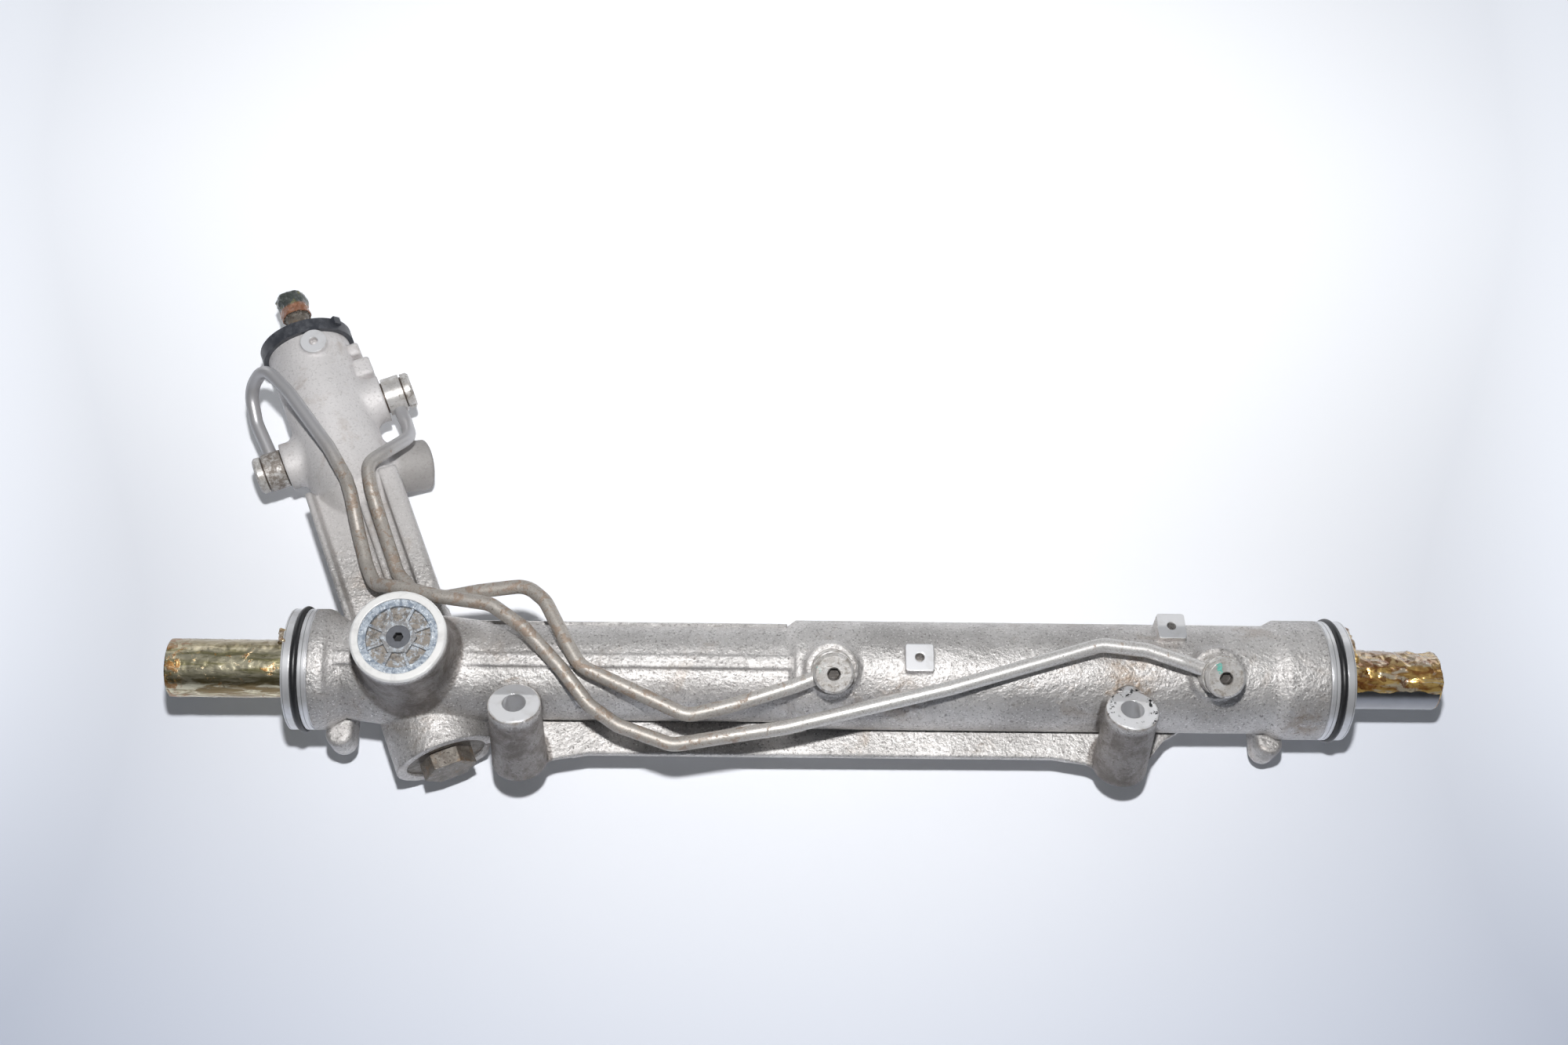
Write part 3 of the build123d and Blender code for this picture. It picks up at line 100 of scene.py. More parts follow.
def view_axes():
    """The camera's right, up and back directions."""
    back = Vector((
        math.sin(CAMERA_YAW) * math.cos(CAMERA_ELEVATION),
        -math.cos(CAMERA_YAW) * math.cos(CAMERA_ELEVATION),
        math.sin(CAMERA_ELEVATION),
    ))
    level = Vector((math.cos(CAMERA_YAW), math.sin(CAMERA_YAW), 0))
    upright = back.cross(level)
    right = math.cos(CAMERA_ROLL) * level + math.sin(CAMERA_ROLL) * upright
    up = math.cos(CAMERA_ROLL) * upright - math.sin(CAMERA_ROLL) * level
    return right, up, back


def add_camera():
    data = bpy.data.cameras.new("camera")
    data.sensor_fit = "HORIZONTAL"
    data.sensor_width = SENSOR_WIDTH
    data.lens = FOCAL_PIXELS * SENSOR_WIDTH / IMAGE_WIDTH
    data.clip_start = NEAR_CLIP
    camera = bpy.data.objects.new("camera", data)
    bpy.context.scene.collection.objects.link(camera)
    turn = Matrix(view_axes()).transposed().to_4x4()
    camera.matrix_world = Matrix.Translation(CAMERA_PLACE) @ turn
    bpy.context.scene.camera = camera


# Shader patterns

def add(tree, kind, links=None, **settings):
    """A shader node with its settings, and its inputs given as values or as sockets."""
    node = tree.nodes.new(kind)
    for key, value in settings.items():
        setattr(node, key, value)
    for key, value in (links or {}).items():
        if isinstance(value, bpy.types.NodeSocket):
            tree.links.new(value, node.inputs[key])
        else:
            node.inputs[key].default_value = value
    return node


def place(tree):
    return add(tree, "ShaderNodeTexCoord").outputs["Object"]


def calc(tree, operation, *values):
    return add(tree, "ShaderNodeMath", dict(enumerate(values)), operation=operation).outputs[0]


def opposite(tree, share):
    return calc(tree, "SUBTRACT", 1.0, share)


def noise(tree, size, detail=3.0, rough=0.55, twist=0.0, vector=None):
    links = {
        "Vector": vector or place(tree),
        "Scale": 1 / size,
        "Detail": detail,
        "Roughness": rough,
        "Distortion": twist,
    }
    return add(tree, "ShaderNodeTexNoise", links).outputs["Fac"]


def stretched(tree, sizes):
    """The place with each axis divided by its own size, for grain that runs one way."""
    links = {"Vector": place(tree), "Scale": tuple(1 / size for size in sizes)}
    return add(tree, "ShaderNodeMapping", links).outputs[0]


def between(tree, value, low, high):
    """0 below low, 1 above high, and the other way round when low is the larger."""
    links = {"Value": value, "From Min": min(low, high), "From Max": max(low, high)}
    if low > high:
        links.update({"To Min": 1.0, "To Max": 0.0})
    return add(tree, "ShaderNodeMapRange", links, interpolation_type="SMOOTHSTEP").outputs[0]


def both(tree, *values):
    total = values[0]
    for value in values[1:]:
        total = calc(tree, "MULTIPLY", total, value)
    return total


def either(tree, *values):
    total = values[0]
    for value in values[1:]:
        total = calc(tree, "MAXIMUM", total, value)
    return total


def mix(tree, share, first, second):
    links = {0: share, 6: first, 7: second}
    return add(tree, "ShaderNodeMix", links, data_type="RGBA").outputs[2]


def blend_values(tree, share, first, second):
    return add(tree, "ShaderNodeMix", {0: share, 2: first, 3: second}).outputs[0]


def offset(tree, centre):
    return add(tree, "ShaderNodeVectorMath", {0: place(tree), 1: centre}, operation="SUBTRACT").outputs[0]


def distance(tree, centre):
    return add(tree, "ShaderNodeVectorMath", {0: offset(tree, centre)}, operation="LENGTH").outputs["Value"]


def near(tree, centre, inner, outer):
    """1 within inner of a point, 0 beyond outer."""
    return between(tree, distance(tree, centre), outer, inner)


def along(tree, centre, axis):
    links = {0: offset(tree, centre), 1: axis}
    return add(tree, "ShaderNodeVectorMath", links, operation="DOT_PRODUCT").outputs["Value"]


def height_over(tree, level):
    return along(tree, Vector((0, 0, level)), Z_AXIS)


def from_axis(tree, centre, axis):
    links = {0: offset(tree, centre), 1: axis}
    cross = add(tree, "ShaderNodeVectorMath", links, operation="CROSS_PRODUCT").outputs[0]
    return add(tree, "ShaderNodeVectorMath", {0: cross}, operation="LENGTH").outputs["Value"]


def bump(tree, height, depth, normal=None):
    links = {"Height": height, "Distance": depth, "Strength": 1.0}
    if normal:
        links["Normal"] = normal
    return add(tree, "ShaderNodeBump", links).outputs[0]


def rounded(tree, radius):
    return add(tree, "ShaderNodeBevel", {"Radius": radius}, samples=4).outputs[0]


def colour(red, green, blue):
    """A colour as it shows on screen, from 0 to 255."""
    parts = []
    for part in (red, green, blue):
        part = part / 255
        parts.append(part / 12.92 if part <= 0.04045 else ((part + 0.055) / 1.055) ** 2.4)
    return (*parts, 1.0)


def new_finish(name, metallic=0.0, **sockets):
    material = bpy.data.materials.new(name)
    material.use_nodes = True
    tree = material.node_tree
    shader = tree.nodes["Principled BSDF"]
    shader.inputs["Metallic"].default_value = metallic
    for key, value in sockets.items():
        shader.inputs[key.replace("_", " ")].default_value = value
    return material, tree, shader


def finish_with(tree, shader, base, roughness, normal=None):
    for socket, value in (("Base Color", base), ("Roughness", roughness), ("Normal", normal)):
        if isinstance(value, bpy.types.NodeSocket):
            tree.links.new(value, shader.inputs[socket])
        elif value is not None:
            shader.inputs[socket].default_value = value


def shade_over(tree, base, share, amount, tone):
    """The base with a tone laid over it where share is 1, as strong as amount."""
    return mix(tree, calc(tree, "MULTIPLY", share, amount), base, tone)


# Finishes

CAST_LIGHT = colour(214, 211, 209)
CAST_MIDDLE = colour(187, 184, 182)
TOWER_LIGHT = colour(228, 225, 225)
# Painted shade for the lower part of the tower
TOWER_FOOT_PAINTED_SHADE = colour(146, 142, 138)
CAST_GRAIN = colour(122, 118, 115)
# Near-white specks painted on the cast skin as glints
CAST_PAINTED_GLINT = colour(246, 244, 243)
CAST_STAIN = colour(152, 132, 112)
# Grime and painted shade for the sides of the mounts and the yoke boss
CAST_GRIME_AND_SHADE = colour(112, 105, 100)
PORT_DULL = colour(120, 115, 109)
PORE = colour(84, 78, 72)
CUT_METAL = colour(228, 228, 230)
CUT_DULL = colour(202, 200, 198)
YOKE_FACE = colour(238, 237, 235)
SEAT_LINE = colour(70, 70, 72)
PAINT_LEFT = colour(38, 38, 40)
PAINT_GREEN = colour(118, 196, 182)
DIRT_GREY = colour(122, 112, 100)
DIRT_BROWN = colour(104, 88, 72)
# Painted shade for the hexagon sockets of the caps
SOCKET_PAINTED_SHADE = colour(58, 52, 47)

# How metallic the casting looks
CAST_METAL = 0.76
TOWER_METAL = 0.34
MILLED_METAL = 0.25
SEAT_METAL = 0.65

# Sizes and places on the casting
SOFT = 0.2 * MM
SEAT_LENGTH = 14 * MM
SEAT_INSIDE = 24 * MM
SEAT_OUTSIDE = 38 * MM
SEAT_GROOVES = (0.9 * MM, 11.1 * MM)
MOUNT_BORE = 7.2 * MM
MOUNT_TOP = 15.5 * MM
MOUNT_SIDE = 19 * MM
YOKE_BOSS_SIDE = 32 * MM
BRACKET_REACH = 12 * MM
PORT_REACH = (24 * MM, 33 * MM)
TOWER_START = (45 * MM, 95 * MM)
# The lower part of the tower, along Y, where shade is painted
FOOT_SHADE_START = (34 * MM, 52 * MM)
FOOT_SHADE_END = (150 * MM, 100 * MM)
LUGS = (Vector((26, -37, -10)) * MM, Vector((553, -37, -10)) * MM)
LUG_REACH = (8 * MM, 13 * MM)

# The pipes are bright over the cylinder and clean at the tower's top
BRIGHT_PIPE = (190 * MM, 340 * MM)
CLEAN_PIPE = (105 * MM, 150 * MM)

# The two caps on the cylinder lean forwards, with a hexagon socket and a dab of green paint on each
CAP_X = (301.0 * MM, 514.3 * MM)
CAP_LEAN = math.radians(27)
CAP_OFFSET = 8.6 * MM
CAP_TOP = 54.4 * MM
SOCKET_RADIUS = 4 * MM
PAINT_DABS = (Vector((292.6, -13.8, 54.0)) * MM, Vector((510.5, -11.6, 54.0)) * MM)

# Brown stains on the casting: where, and how far they reach, in millimetres
STAINS = {
    "under the right boot seat": ((566, -31, 15), 17),
    "under the outer fitting's pipe": ((467, -4, 27), 24),
    "beside the inner fitting": ((340, -19, 19), 20),
    "side of the right mount": ((472, -44, -8), 19),
    "side of the left mount": ((127, -48, -18), 17),
    "foot of the tower": ((36, 53, 5), 17),
    "under the left boot seat": ((10, -31, 8), 10),
    "middle of the tower": ((15, 165, 18), 13),
}


def yoke_ring_share(tree):
    """1 on the turned face of the yoke boss."""
    return between(tree, height_over(tree, YOKE_TOP), -0.6 * MM, -0.2 * MM)


def machined_share(tree):
    """1 on the faces of the casting that are turned or milled, 0 on its cast skin."""
    x = along(tree, RACK_CENTRE, X_AXIS)
    left_seat = between(tree, x, SEAT_LENGTH + SOFT, SEAT_LENGTH - SOFT)
    right_edge = SEAT_RIGHT_X - SEAT_LENGTH
    right_seat = between(tree, x, right_edge - SOFT, right_edge + SOFT)
    radius = from_axis(tree, RACK_CENTRE, X_AXIS)
    inside = between(tree, radius, SEAT_INSIDE, SEAT_INSIDE + 0.5 * MM)
    outside = between(tree, radius, SEAT_OUTSIDE, SEAT_OUTSIDE - 1 * MM)
    faces = [both(tree, either(tree, left_seat, right_seat), inside, outside), yoke_ring_share(tree)]
    for name in MOUNT_BOLTS:
        centre, axis = mount_line(name)
        radius = from_axis(tree, centre, axis)
        level = between(tree, along(tree, centre, axis), -0.9 * MM, -0.5 * MM)
        bore = between(tree, radius, MOUNT_BORE, MOUNT_BORE - 0.3 * MM)
        top = between(tree, radius, MOUNT_TOP, MOUNT_TOP - 0.5 * MM)
        faces.append(both(tree, top, either(tree, level, bore)))
    for name in BRACKET_HOLES:
        centre, axis = mount_line(name)
        level = between(tree, along(tree, centre, axis), -0.4 * MM, -0.1 * MM)
        faces.append(both(tree, level, near(tree, centre, BRACKET_REACH, BRACKET_REACH + 0.5 * MM)))
    return either(tree, *faces)


def seat_lines(tree):
    """Two fine turned grooves on each boot seat."""
    from_left = along(tree, RACK_CENTRE, X_AXIS)
    from_right = calc(tree, "SUBTRACT", SEAT_RIGHT_X, from_left)
    lines = []
    for depth in (from_left, from_right):
        for groove in SEAT_GROOVES:
            away = calc(tree, "ABSOLUTE", calc(tree, "SUBTRACT", depth, groove))
            lines.append(between(tree, away, 0.26 * MM, 0.10 * MM))
    return either(tree, *lines)


def grime_and_shade_share(tree):
    """Dull brown-grey grime and painted shade on the sides of the two mounts and of the yoke boss."""
    edge = calc(tree, "MULTIPLY", noise(tree, 9 * MM, 4, 0.65), 5 * MM)
    shares = []
    for name in MOUNT_BOLTS:
        centre, axis = mount_line(name)
        below = between(tree, calc(tree, "ADD", along(tree, centre, axis), edge), 0.0, -5 * MM)
        side = between(tree, from_axis(tree, centre, axis), MOUNT_SIDE, MOUNT_SIDE - 1.5 * MM)
        shares.append(both(tree, below, side))
    below = between(tree, calc(tree, "ADD", height_over(tree, YOKE_TOP), edge), 1 * MM, -3 * MM)
    side = between(tree, from_axis(tree, YOKE_MIDDLE, Z_AXIS), YOKE_BOSS_SIDE, YOKE_BOSS_SIDE - 2 * MM)
    shares.append(both(tree, below, side))
    return either(tree, *shares)


def mount_rim_share(tree):
    """A rusty tan rim round the tops of the two mounts."""
    patches = between(tree, noise(tree, 5 * MM, 4, 0.7), 0.40, 0.60)
    rims = []
    for name in MOUNT_BOLTS:
        centre, axis = mount_line(name)
        level = between(tree, along(tree, centre, axis), -3 * MM, -1 * MM)
        radius = from_axis(tree, centre, axis)
        inside = between(tree, radius, 13 * MM, 15 * MM)
        outside = between(tree, radius, MOUNT_SIDE, MOUNT_SIDE - 1 * MM)
        rims.append(both(tree, level, inside, outside))
    return both(tree, either(tree, *rims), patches)


def stain_share(tree):
    """Brown dirt, thickest at the places named in STAINS, with ragged edges."""
    cloud = noise(tree, 7 * MM, 5, 0.7, 0.4)
    shares = []
    for centre, reach in STAINS.values():
        shares.append(near(tree, Vector(centre) * MM, 0.2 * reach * MM, reach * MM))
    return both(tree, either(tree, *shares), between(tree, cloud, 0.36, 0.62))


def old_paint_share(tree):
    """Flakes of dark paint left on the top of the right mount."""
    centre, axis = mount_line("subframe_bolt_right")
    radius = from_axis(tree, centre, axis)
    inside = between(tree, radius, 8.5 * MM, 10.5 * MM)
    outside = between(tree, radius, MOUNT_TOP, MOUNT_TOP - 1 * MM)
    top = between(tree, along(tree, centre, axis), -1.2 * MM, -0.6 * MM)
    flakes = between(tree, noise(tree, 4.2 * MM, 4, 0.75, 0.3), 0.56, 0.60)
    return both(tree, inside, outside, top, flakes)


def cast_skin(tree, cloud, grain, blotch, tower, coarse):
    """The clean skin: clouded grey, lighter and smoother on the tower, painted shade at its foot, grain and
    painted glints.
    """
    base = mix(tree, between(tree, cloud, 0.36, 0.64), CAST_LIGHT, CAST_MIDDLE)
    base = shade_over(tree, base, between(tree, blotch, 0.5, 0.72), 0.5, CAST_MIDDLE)
    base = shade_over(tree, base, tower, 0.75, TOWER_LIGHT)
    y = along(tree, RACK_CENTRE, Y_AXIS)
    # Painted shade: the lower part of the tower is darkened
    foot = both(tree, between(tree, y, *FOOT_SHADE_START), between(tree, y, *FOOT_SHADE_END))
    base = shade_over(tree, base, foot, 0.4, TOWER_FOOT_PAINTED_SHADE)
    base = shade_over(tree, base, both(tree, between(tree, grain, 0.52, 0.70), coarse), 0.75, CAST_GRAIN)
    # Painted glints: near-white specks on the coarse skin
    painted_glints = both(tree, between(tree, noise(tree, 1.1 * MM, 2, 0.6), 0.60, 0.68), coarse)
    return shade_over(tree, base, painted_glints, 0.75, CAST_PAINTED_GLINT)


def cast_dirt_and_shade(tree, base, cloud, blotch):
    """Brown clouds, grime and painted shade, stains, greyer lugs and the dull boss of the hose port."""
    brown = between(tree, noise(tree, 26 * MM, 5, 0.7, 0.6), 0.54, 0.74)
    base = shade_over(tree, base, brown, 0.4, CAST_STAIN)
    strength = blend_values(tree, between(tree, blotch, 0.40, 0.65), 0.62, 0.9)
    # Grime and painted shade on the sides of the mounts and the yoke boss
    base = mix(tree, both(tree, grime_and_shade_share(tree), strength), base, CAST_GRIME_AND_SHADE)
    base = shade_over(tree, base, stain_share(tree), 0.62, CAST_STAIN)
    lugs = either(tree, *(near(tree, lug, *LUG_REACH) for lug in LUGS))
    base = shade_over(tree, base, lugs, 0.3, CAST_GRAIN)
    port = both(tree, near(tree, HOSE_PORT, *PORT_REACH), blend_values(tree, cloud, 0.5, 1.0))
    return shade_over(tree, base, port, 0.75, PORT_DULL)


def cut_faces(tree, blotch):
    """Turned and milled metal, dull in places, with the grooves of the boot seats."""
    base = mix(tree, yoke_ring_share(tree), CUT_METAL, YOKE_FACE)
    base = shade_over(tree, base, between(tree, blotch, 0.48, 0.7), 0.5, CUT_DULL)
    return shade_over(tree, base, seat_lines(tree), 0.6, SEAT_LINE)


def cast_aluminium():
    """Sand cast skin with grain and painted glints, stains, grime and painted shade, and bright turned and milled
    faces.
    """
    material, tree, shader = new_finish("cast_aluminium")
    machined = machined_share(tree)
    cloud = noise(tree, 38 * MM, 4, 0.62)
    grain = noise(tree, 1.5 * MM, 3, 0.65)
    blotch = noise(tree, 11 * MM, 4, 0.65, 0.3)
    tower = between(tree, along(tree, RACK_CENTRE, Y_AXIS), *TOWER_START)
    coarse = opposite(tree, calc(tree, "MULTIPLY", tower, 0.65))
    pores = both(tree, between(tree, noise(tree, 2.4 * MM, 2, 0.6), 0.715, 0.75), coarse)
    base = cast_skin(tree, cloud, grain, blotch, tower, coarse)
    base = cast_dirt_and_shade(tree, base, cloud, blotch)
    base = shade_over(tree, base, pores, 0.5, PORE)
    base = mix(tree, machined, base, cut_faces(tree, blotch))
    base = shade_over(tree, base, mount_rim_share(tree), 0.6, CAST_STAIN)
    base = mix(tree, old_paint_share(tree), base, PAINT_LEFT)
    rough = calc(tree, "ADD", blend_values(tree, tower, 0.43, 0.54), calc(tree, "MULTIPLY", grain, 0.22))
    rough = blend_values(tree, machined, rough, 0.34)
    at_seats = between(tree, from_axis(tree, RACK_CENTRE, X_AXIS), SEAT_OUTSIDE, SEAT_OUTSIDE - 1 * MM)
    skin_metal = blend_values(tree, tower, CAST_METAL, TOWER_METAL)
    cut_metal = blend_values(tree, at_seats, MILLED_METAL, SEAT_METAL)
    tree.links.new(blend_values(tree, machined, skin_metal, cut_metal), shader.inputs["Metallic"])
    lumps = calc(tree, "MULTIPLY", noise(tree, 5 * MM, 2, 0.5), 1.6)
    height = calc(tree, "ADD", calc(tree, "SUBTRACT", grain, calc(tree, "MULTIPLY", pores, 0.8)), lumps)
    height = both(tree, height, opposite(tree, machined), coarse)
    edge = blend_values(tree, machined, 3 * MM, 0.8 * MM)
    finish_with(tree, shader, base, rough, bump(tree, height, 0.44 * MM, rounded(tree, edge)))
    return material


def pipe_steel():
    """Zinc plated pipe: clean grey at the tower's top, rust below it, bright over the cylinder."""
    material, tree, shader = new_finish("pipe_steel", metallic=0.45)
    bright = between(tree, along(tree, RACK_CENTRE, X_AXIS), *BRIGHT_PIPE)
    clean = between(tree, along(tree, RACK_CENTRE, Y_AXIS), *CLEAN_PIPE)
    unclean = opposite(tree, clean)
    dull = mix(tree, noise(tree, 8 * MM, 4, 0.65), colour(160, 152, 144), colour(192, 188, 182))
    base = mix(tree, clean, dull, colour(182, 181, 183))
    base = mix(tree, bright, base, colour(212, 210, 208))
    level = calc(tree, "ADD", 0.505, calc(tree, "MULTIPLY", bright, 0.11))
    level = calc(tree, "ADD", level, calc(tree, "MULTIPLY", clean, 0.16))
    patch = between(tree, calc(tree, "SUBTRACT", noise(tree, 6 * MM, 5, 0.7, 0.4), level), 0.0, 0.09)
    rust = mix(tree, noise(tree, 2 * MM, 4, 0.7), colour(140, 120, 104), colour(168, 138, 112))
    base = shade_over(tree, base, patch, 0.6, rust)
    bloom = between(tree, noise(tree, 1.8 * MM, 5, 0.78), 0.60, 0.70)
    bloom = both(tree, bloom, between(tree, noise(tree, 14 * MM, 2, 0.5), 0.48, 0.62))
    bloom = both(tree, bloom, unclean, opposite(tree, bright))
    base = shade_over(tree, base, bloom, 0.7, colour(190, 124, 74))
    speckle = both(tree, between(tree, noise(tree, 1 * MM, 3, 0.7), 0.42, 0.66), unclean)
    base = shade_over(tree, base, speckle, 0.35, colour(118, 108, 98))
    pits = between(tree, noise(tree, 1.3 * MM, 2, 0.6), 0.64, 0.72)
    pits = both(tree, pits, opposite(tree, both(tree, clean, 0.8)))
    base = shade_over(tree, base, pits, 0.6, colour(92, 82, 74))
    rough = blend_values(tree, either(tree, bright, clean), 0.52, 0.40)
    rough = blend_values(tree, patch, rough, 0.68)
    height = calc(tree, "SUBTRACT", calc(tree, "MULTIPLY", patch, 0.4), pits)
    finish_with(tree, shader, base, rough, bump(tree, height, 0.08 * MM))
    return material


def socket_shade_share(tree):
    """1 in the hexagon sockets of the two caps on the cylinder, where shade is painted."""
    lean = Vector((0, -math.sin(CAP_LEAN), math.cos(CAP_LEAN)))
    shares = []
    for x in CAP_X:
        foot = Vector((x, CAP_OFFSET * math.cos(CAP_LEAN), CAP_OFFSET * math.sin(CAP_LEAN)))
        wall = between(tree, from_axis(tree, foot, lean), SOCKET_RADIUS, SOCKET_RADIUS - 0.5 * MM)
        sunk = between(tree, along(tree, foot, lean), CAP_TOP - 0.3 * MM, CAP_TOP - 0.9 * MM)
        shares.append(both(tree, wall, sunk))
    return either(tree, *shares)


def zinc_steel(name, dirt_tone, dirt_amount, dabs=()):
    """Zinc plating with dirt in its pores, and on the caps painted shade in their sockets and dabs of green paint.
    """
    material, tree, shader = new_finish(name, metallic=0.4)
    cloud = noise(tree, 7 * MM, 5, 0.65)
    base = mix(tree, between(tree, cloud, 0.35, 0.65), colour(188, 184, 180), colour(216, 214, 212))
    spots = noise(tree, 3.4 * MM, 5, 0.72, 0.3)
    dirt = between(tree, spots, 0.56 - dirt_amount * 0.14, 0.76 - dirt_amount * 0.1)
    base = shade_over(tree, base, dirt, 0.75, dirt_tone)
    specks = between(tree, noise(tree, 0.9 * MM, 2, 0.6), 0.62, 0.70)
    base = shade_over(tree, base, specks, 0.6, colour(96, 88, 80))
    for centre in dabs:
        edge = calc(tree, "MULTIPLY", noise(tree, 2.4 * MM, 3, 0.7), 7 * MM)
        reach = calc(tree, "ADD", distance(tree, centre), edge)
        dab = between(tree, reach, 6.2 * MM, 5.6 * MM)
        worn = between(tree, noise(tree, 0.9 * MM, 3, 0.7), 0.34, 0.44)
        base = mix(tree, both(tree, dab, worn), base, PAINT_GREEN)
    if dabs:
        # Painted shade in the hexagon sockets of the caps
        base = shade_over(tree, base, socket_shade_share(tree), 0.85, SOCKET_PAINTED_SHADE)
    rough = blend_values(tree, dirt, 0.36, 0.7)
    height = calc(tree, "ADD", noise(tree, 0.8 * MM, 2, 0.6), dirt)
    finish_with(tree, shader, base, rough, bump(tree, height, 0.06 * MM, rounded(tree, 0.5 * MM)))
    return material


def corroded_zinc():
    """The yoke plug's plating: blue-white bloom on the rim and ribs, brown dirt in its recess."""
    material, tree, shader = new_finish("corroded_zinc", metallic=0.15)
    cloud = noise(tree, 3.2 * MM, 5, 0.72, 0.6)
    base = mix(tree, between(tree, cloud, 0.40, 0.60), colour(120, 131, 145), colour(182, 190, 199))
    white = between(tree, noise(tree, 1.7 * MM, 4, 0.7), 0.56, 0.64)
    base = shade_over(tree, base, white, 0.7, colour(236, 240, 243))
    low = between(tree, height_over(tree, YOKE_TOP), -1.6 * MM, -2.6 * MM)
    inside = both(tree, between(tree, from_axis(tree, YOKE_MIDDLE, Z_AXIS), 16.5 * MM, 15 * MM), 0.6)
    taupe = both(tree, either(tree, low, inside), between(tree, cloud, 0.64, 0.46))
    base = shade_over(tree, base, taupe, 0.9, colour(142, 132, 120))
    grime = both(tree, low, between(tree, noise(tree, 4 * MM, 4, 0.7), 0.52, 0.62))
    base = shade_over(tree, base, grime, 0.8, colour(92, 86, 80))
    specks = between(tree, noise(tree, 1.5 * MM, 4, 0.75), 0.56, 0.64)
    base = shade_over(tree, base, specks, 0.65, colour(104, 108, 114))
    height = calc(tree, "ADD", cloud, noise(tree, 0.9 * MM, 3, 0.7))
    finish_with(tree, shader, base, 0.58, bump(tree, height, 0.35 * MM, rounded(tree, 0.5 * MM)))
    return material


def rusty_steel():
    """Bare steel gone grey-brown, with lighter rubbed spots and dark pits."""
    material, tree, shader = new_finish("rusty_steel", metallic=0.3)
    cloud = noise(tree, 5 * MM, 5, 0.68, 0.4)
    base = mix(tree, between(tree, cloud, 0.35, 0.65), colour(94, 86, 78), colour(130, 124, 116))
    rubbed = between(tree, noise(tree, 3.4 * MM, 5, 0.74), 0.58, 0.68)
    base = shade_over(tree, base, rubbed, 0.6, colour(196, 194, 192))
    brown = between(tree, noise(tree, 8 * MM, 3, 0.6), 0.52, 0.7)
    base = shade_over(tree, base, brown, 0.5, colour(140, 112, 82))
    pits = between(tree, noise(tree, 1.1 * MM, 2, 0.6), 0.60, 0.68)
    base = shade_over(tree, base, pits, 0.6, colour(74, 66, 58))
    height = calc(tree, "SUBTRACT", cloud, pits)
    finish_with(tree, shader, base, 0.46, bump(tree, height, 0.16 * MM, rounded(tree, 0.6 * MM)))
    return material


def turned_steel(name, shade, roughness):
    """Ground or turned steel, with a fine mottle and faint scratches."""
    material, tree, shader = new_finish(name, metallic=1.0)
    darker = tuple(part * 0.8 for part in shade[:3]) + (1.0,)
    base = mix(tree, noise(tree, 8 * MM, 3, 0.5), shade, darker)
    scratches = noise(tree, 1.0, 3, 0.6, 0.0, stretched(tree, (0.25 * MM, 9 * MM, 9 * MM)))
    rough = calc(tree, "ADD", roughness, calc(tree, "MULTIPLY", scratches, 0.12))
    finish_with(tree, shader, base, rough, bump(tree, scratches, 0.012 * MM))
    return material


def black_rubber():
    """Black rubber, dull in spots where it has dried."""
    material, tree, shader = new_finish("black_rubber", Specular_IOR_Level=0.5)
    base = mix(tree, noise(tree, 4 * MM, 3, 0.6), colour(18, 18, 20), colour(40, 40, 42))
    rough = calc(tree, "ADD", 0.26, calc(tree, "MULTIPLY", noise(tree, 2 * MM), 0.25))
    finish_with(tree, shader, base, rough, bump(tree, noise(tree, 0.6 * MM, 2), 0.02 * MM))
    return material


def black_plastic():
    """Moulded black plastic with a film of grey dust."""
    material, tree, shader = new_finish("black_plastic", Specular_IOR_Level=0.5)
    dust = between(tree, noise(tree, 6 * MM, 5, 0.7), 0.42, 0.72)
    base = shade_over(tree, colour(58, 60, 66), dust, 0.6, colour(104, 106, 111))
    rough = blend_values(tree, dust, 0.36, 0.7)
    height = noise(tree, 0.8 * MM, 2)
    finish_with(tree, shader, base, rough, bump(tree, height, 0.04 * MM, rounded(tree, 0.5 * MM)))
    return material


def dark_steel():
    """Blackened steel screw, dusty and a little worn, its socket painted near-black: dirt and painted shade."""
    material, tree, shader = new_finish("dark_steel", metallic=0.2)
    base = mix(tree, noise(tree, 2.5 * MM, 4, 0.65), colour(78, 80, 85), colour(108, 110, 116))
    # Dirt and painted shade: the screw's socket is near-black
    socket = between(tree, height_over(tree, SCREW_TOP), -0.4 * MM, -1.2 * MM)
    base = shade_over(tree, base, socket, 0.92, colour(14, 14, 15))
    height = noise(tree, 0.5 * MM, 2)
    finish_with(tree, shader, base, 0.45, bump(tree, height, 0.03 * MM, rounded(tree, 0.3 * MM)))
    return material


def copper():
    """Sealing washers gone dark brown."""
    material, tree, shader = new_finish("copper", metallic=0.3)
    base = mix(tree, noise(tree, 2 * MM, 4, 0.6), colour(104, 90, 80), colour(74, 68, 64))
    finish_with(tree, shader, base, 0.45, bump(tree, noise(tree, 0.5 * MM), 0.02 * MM))
    return material


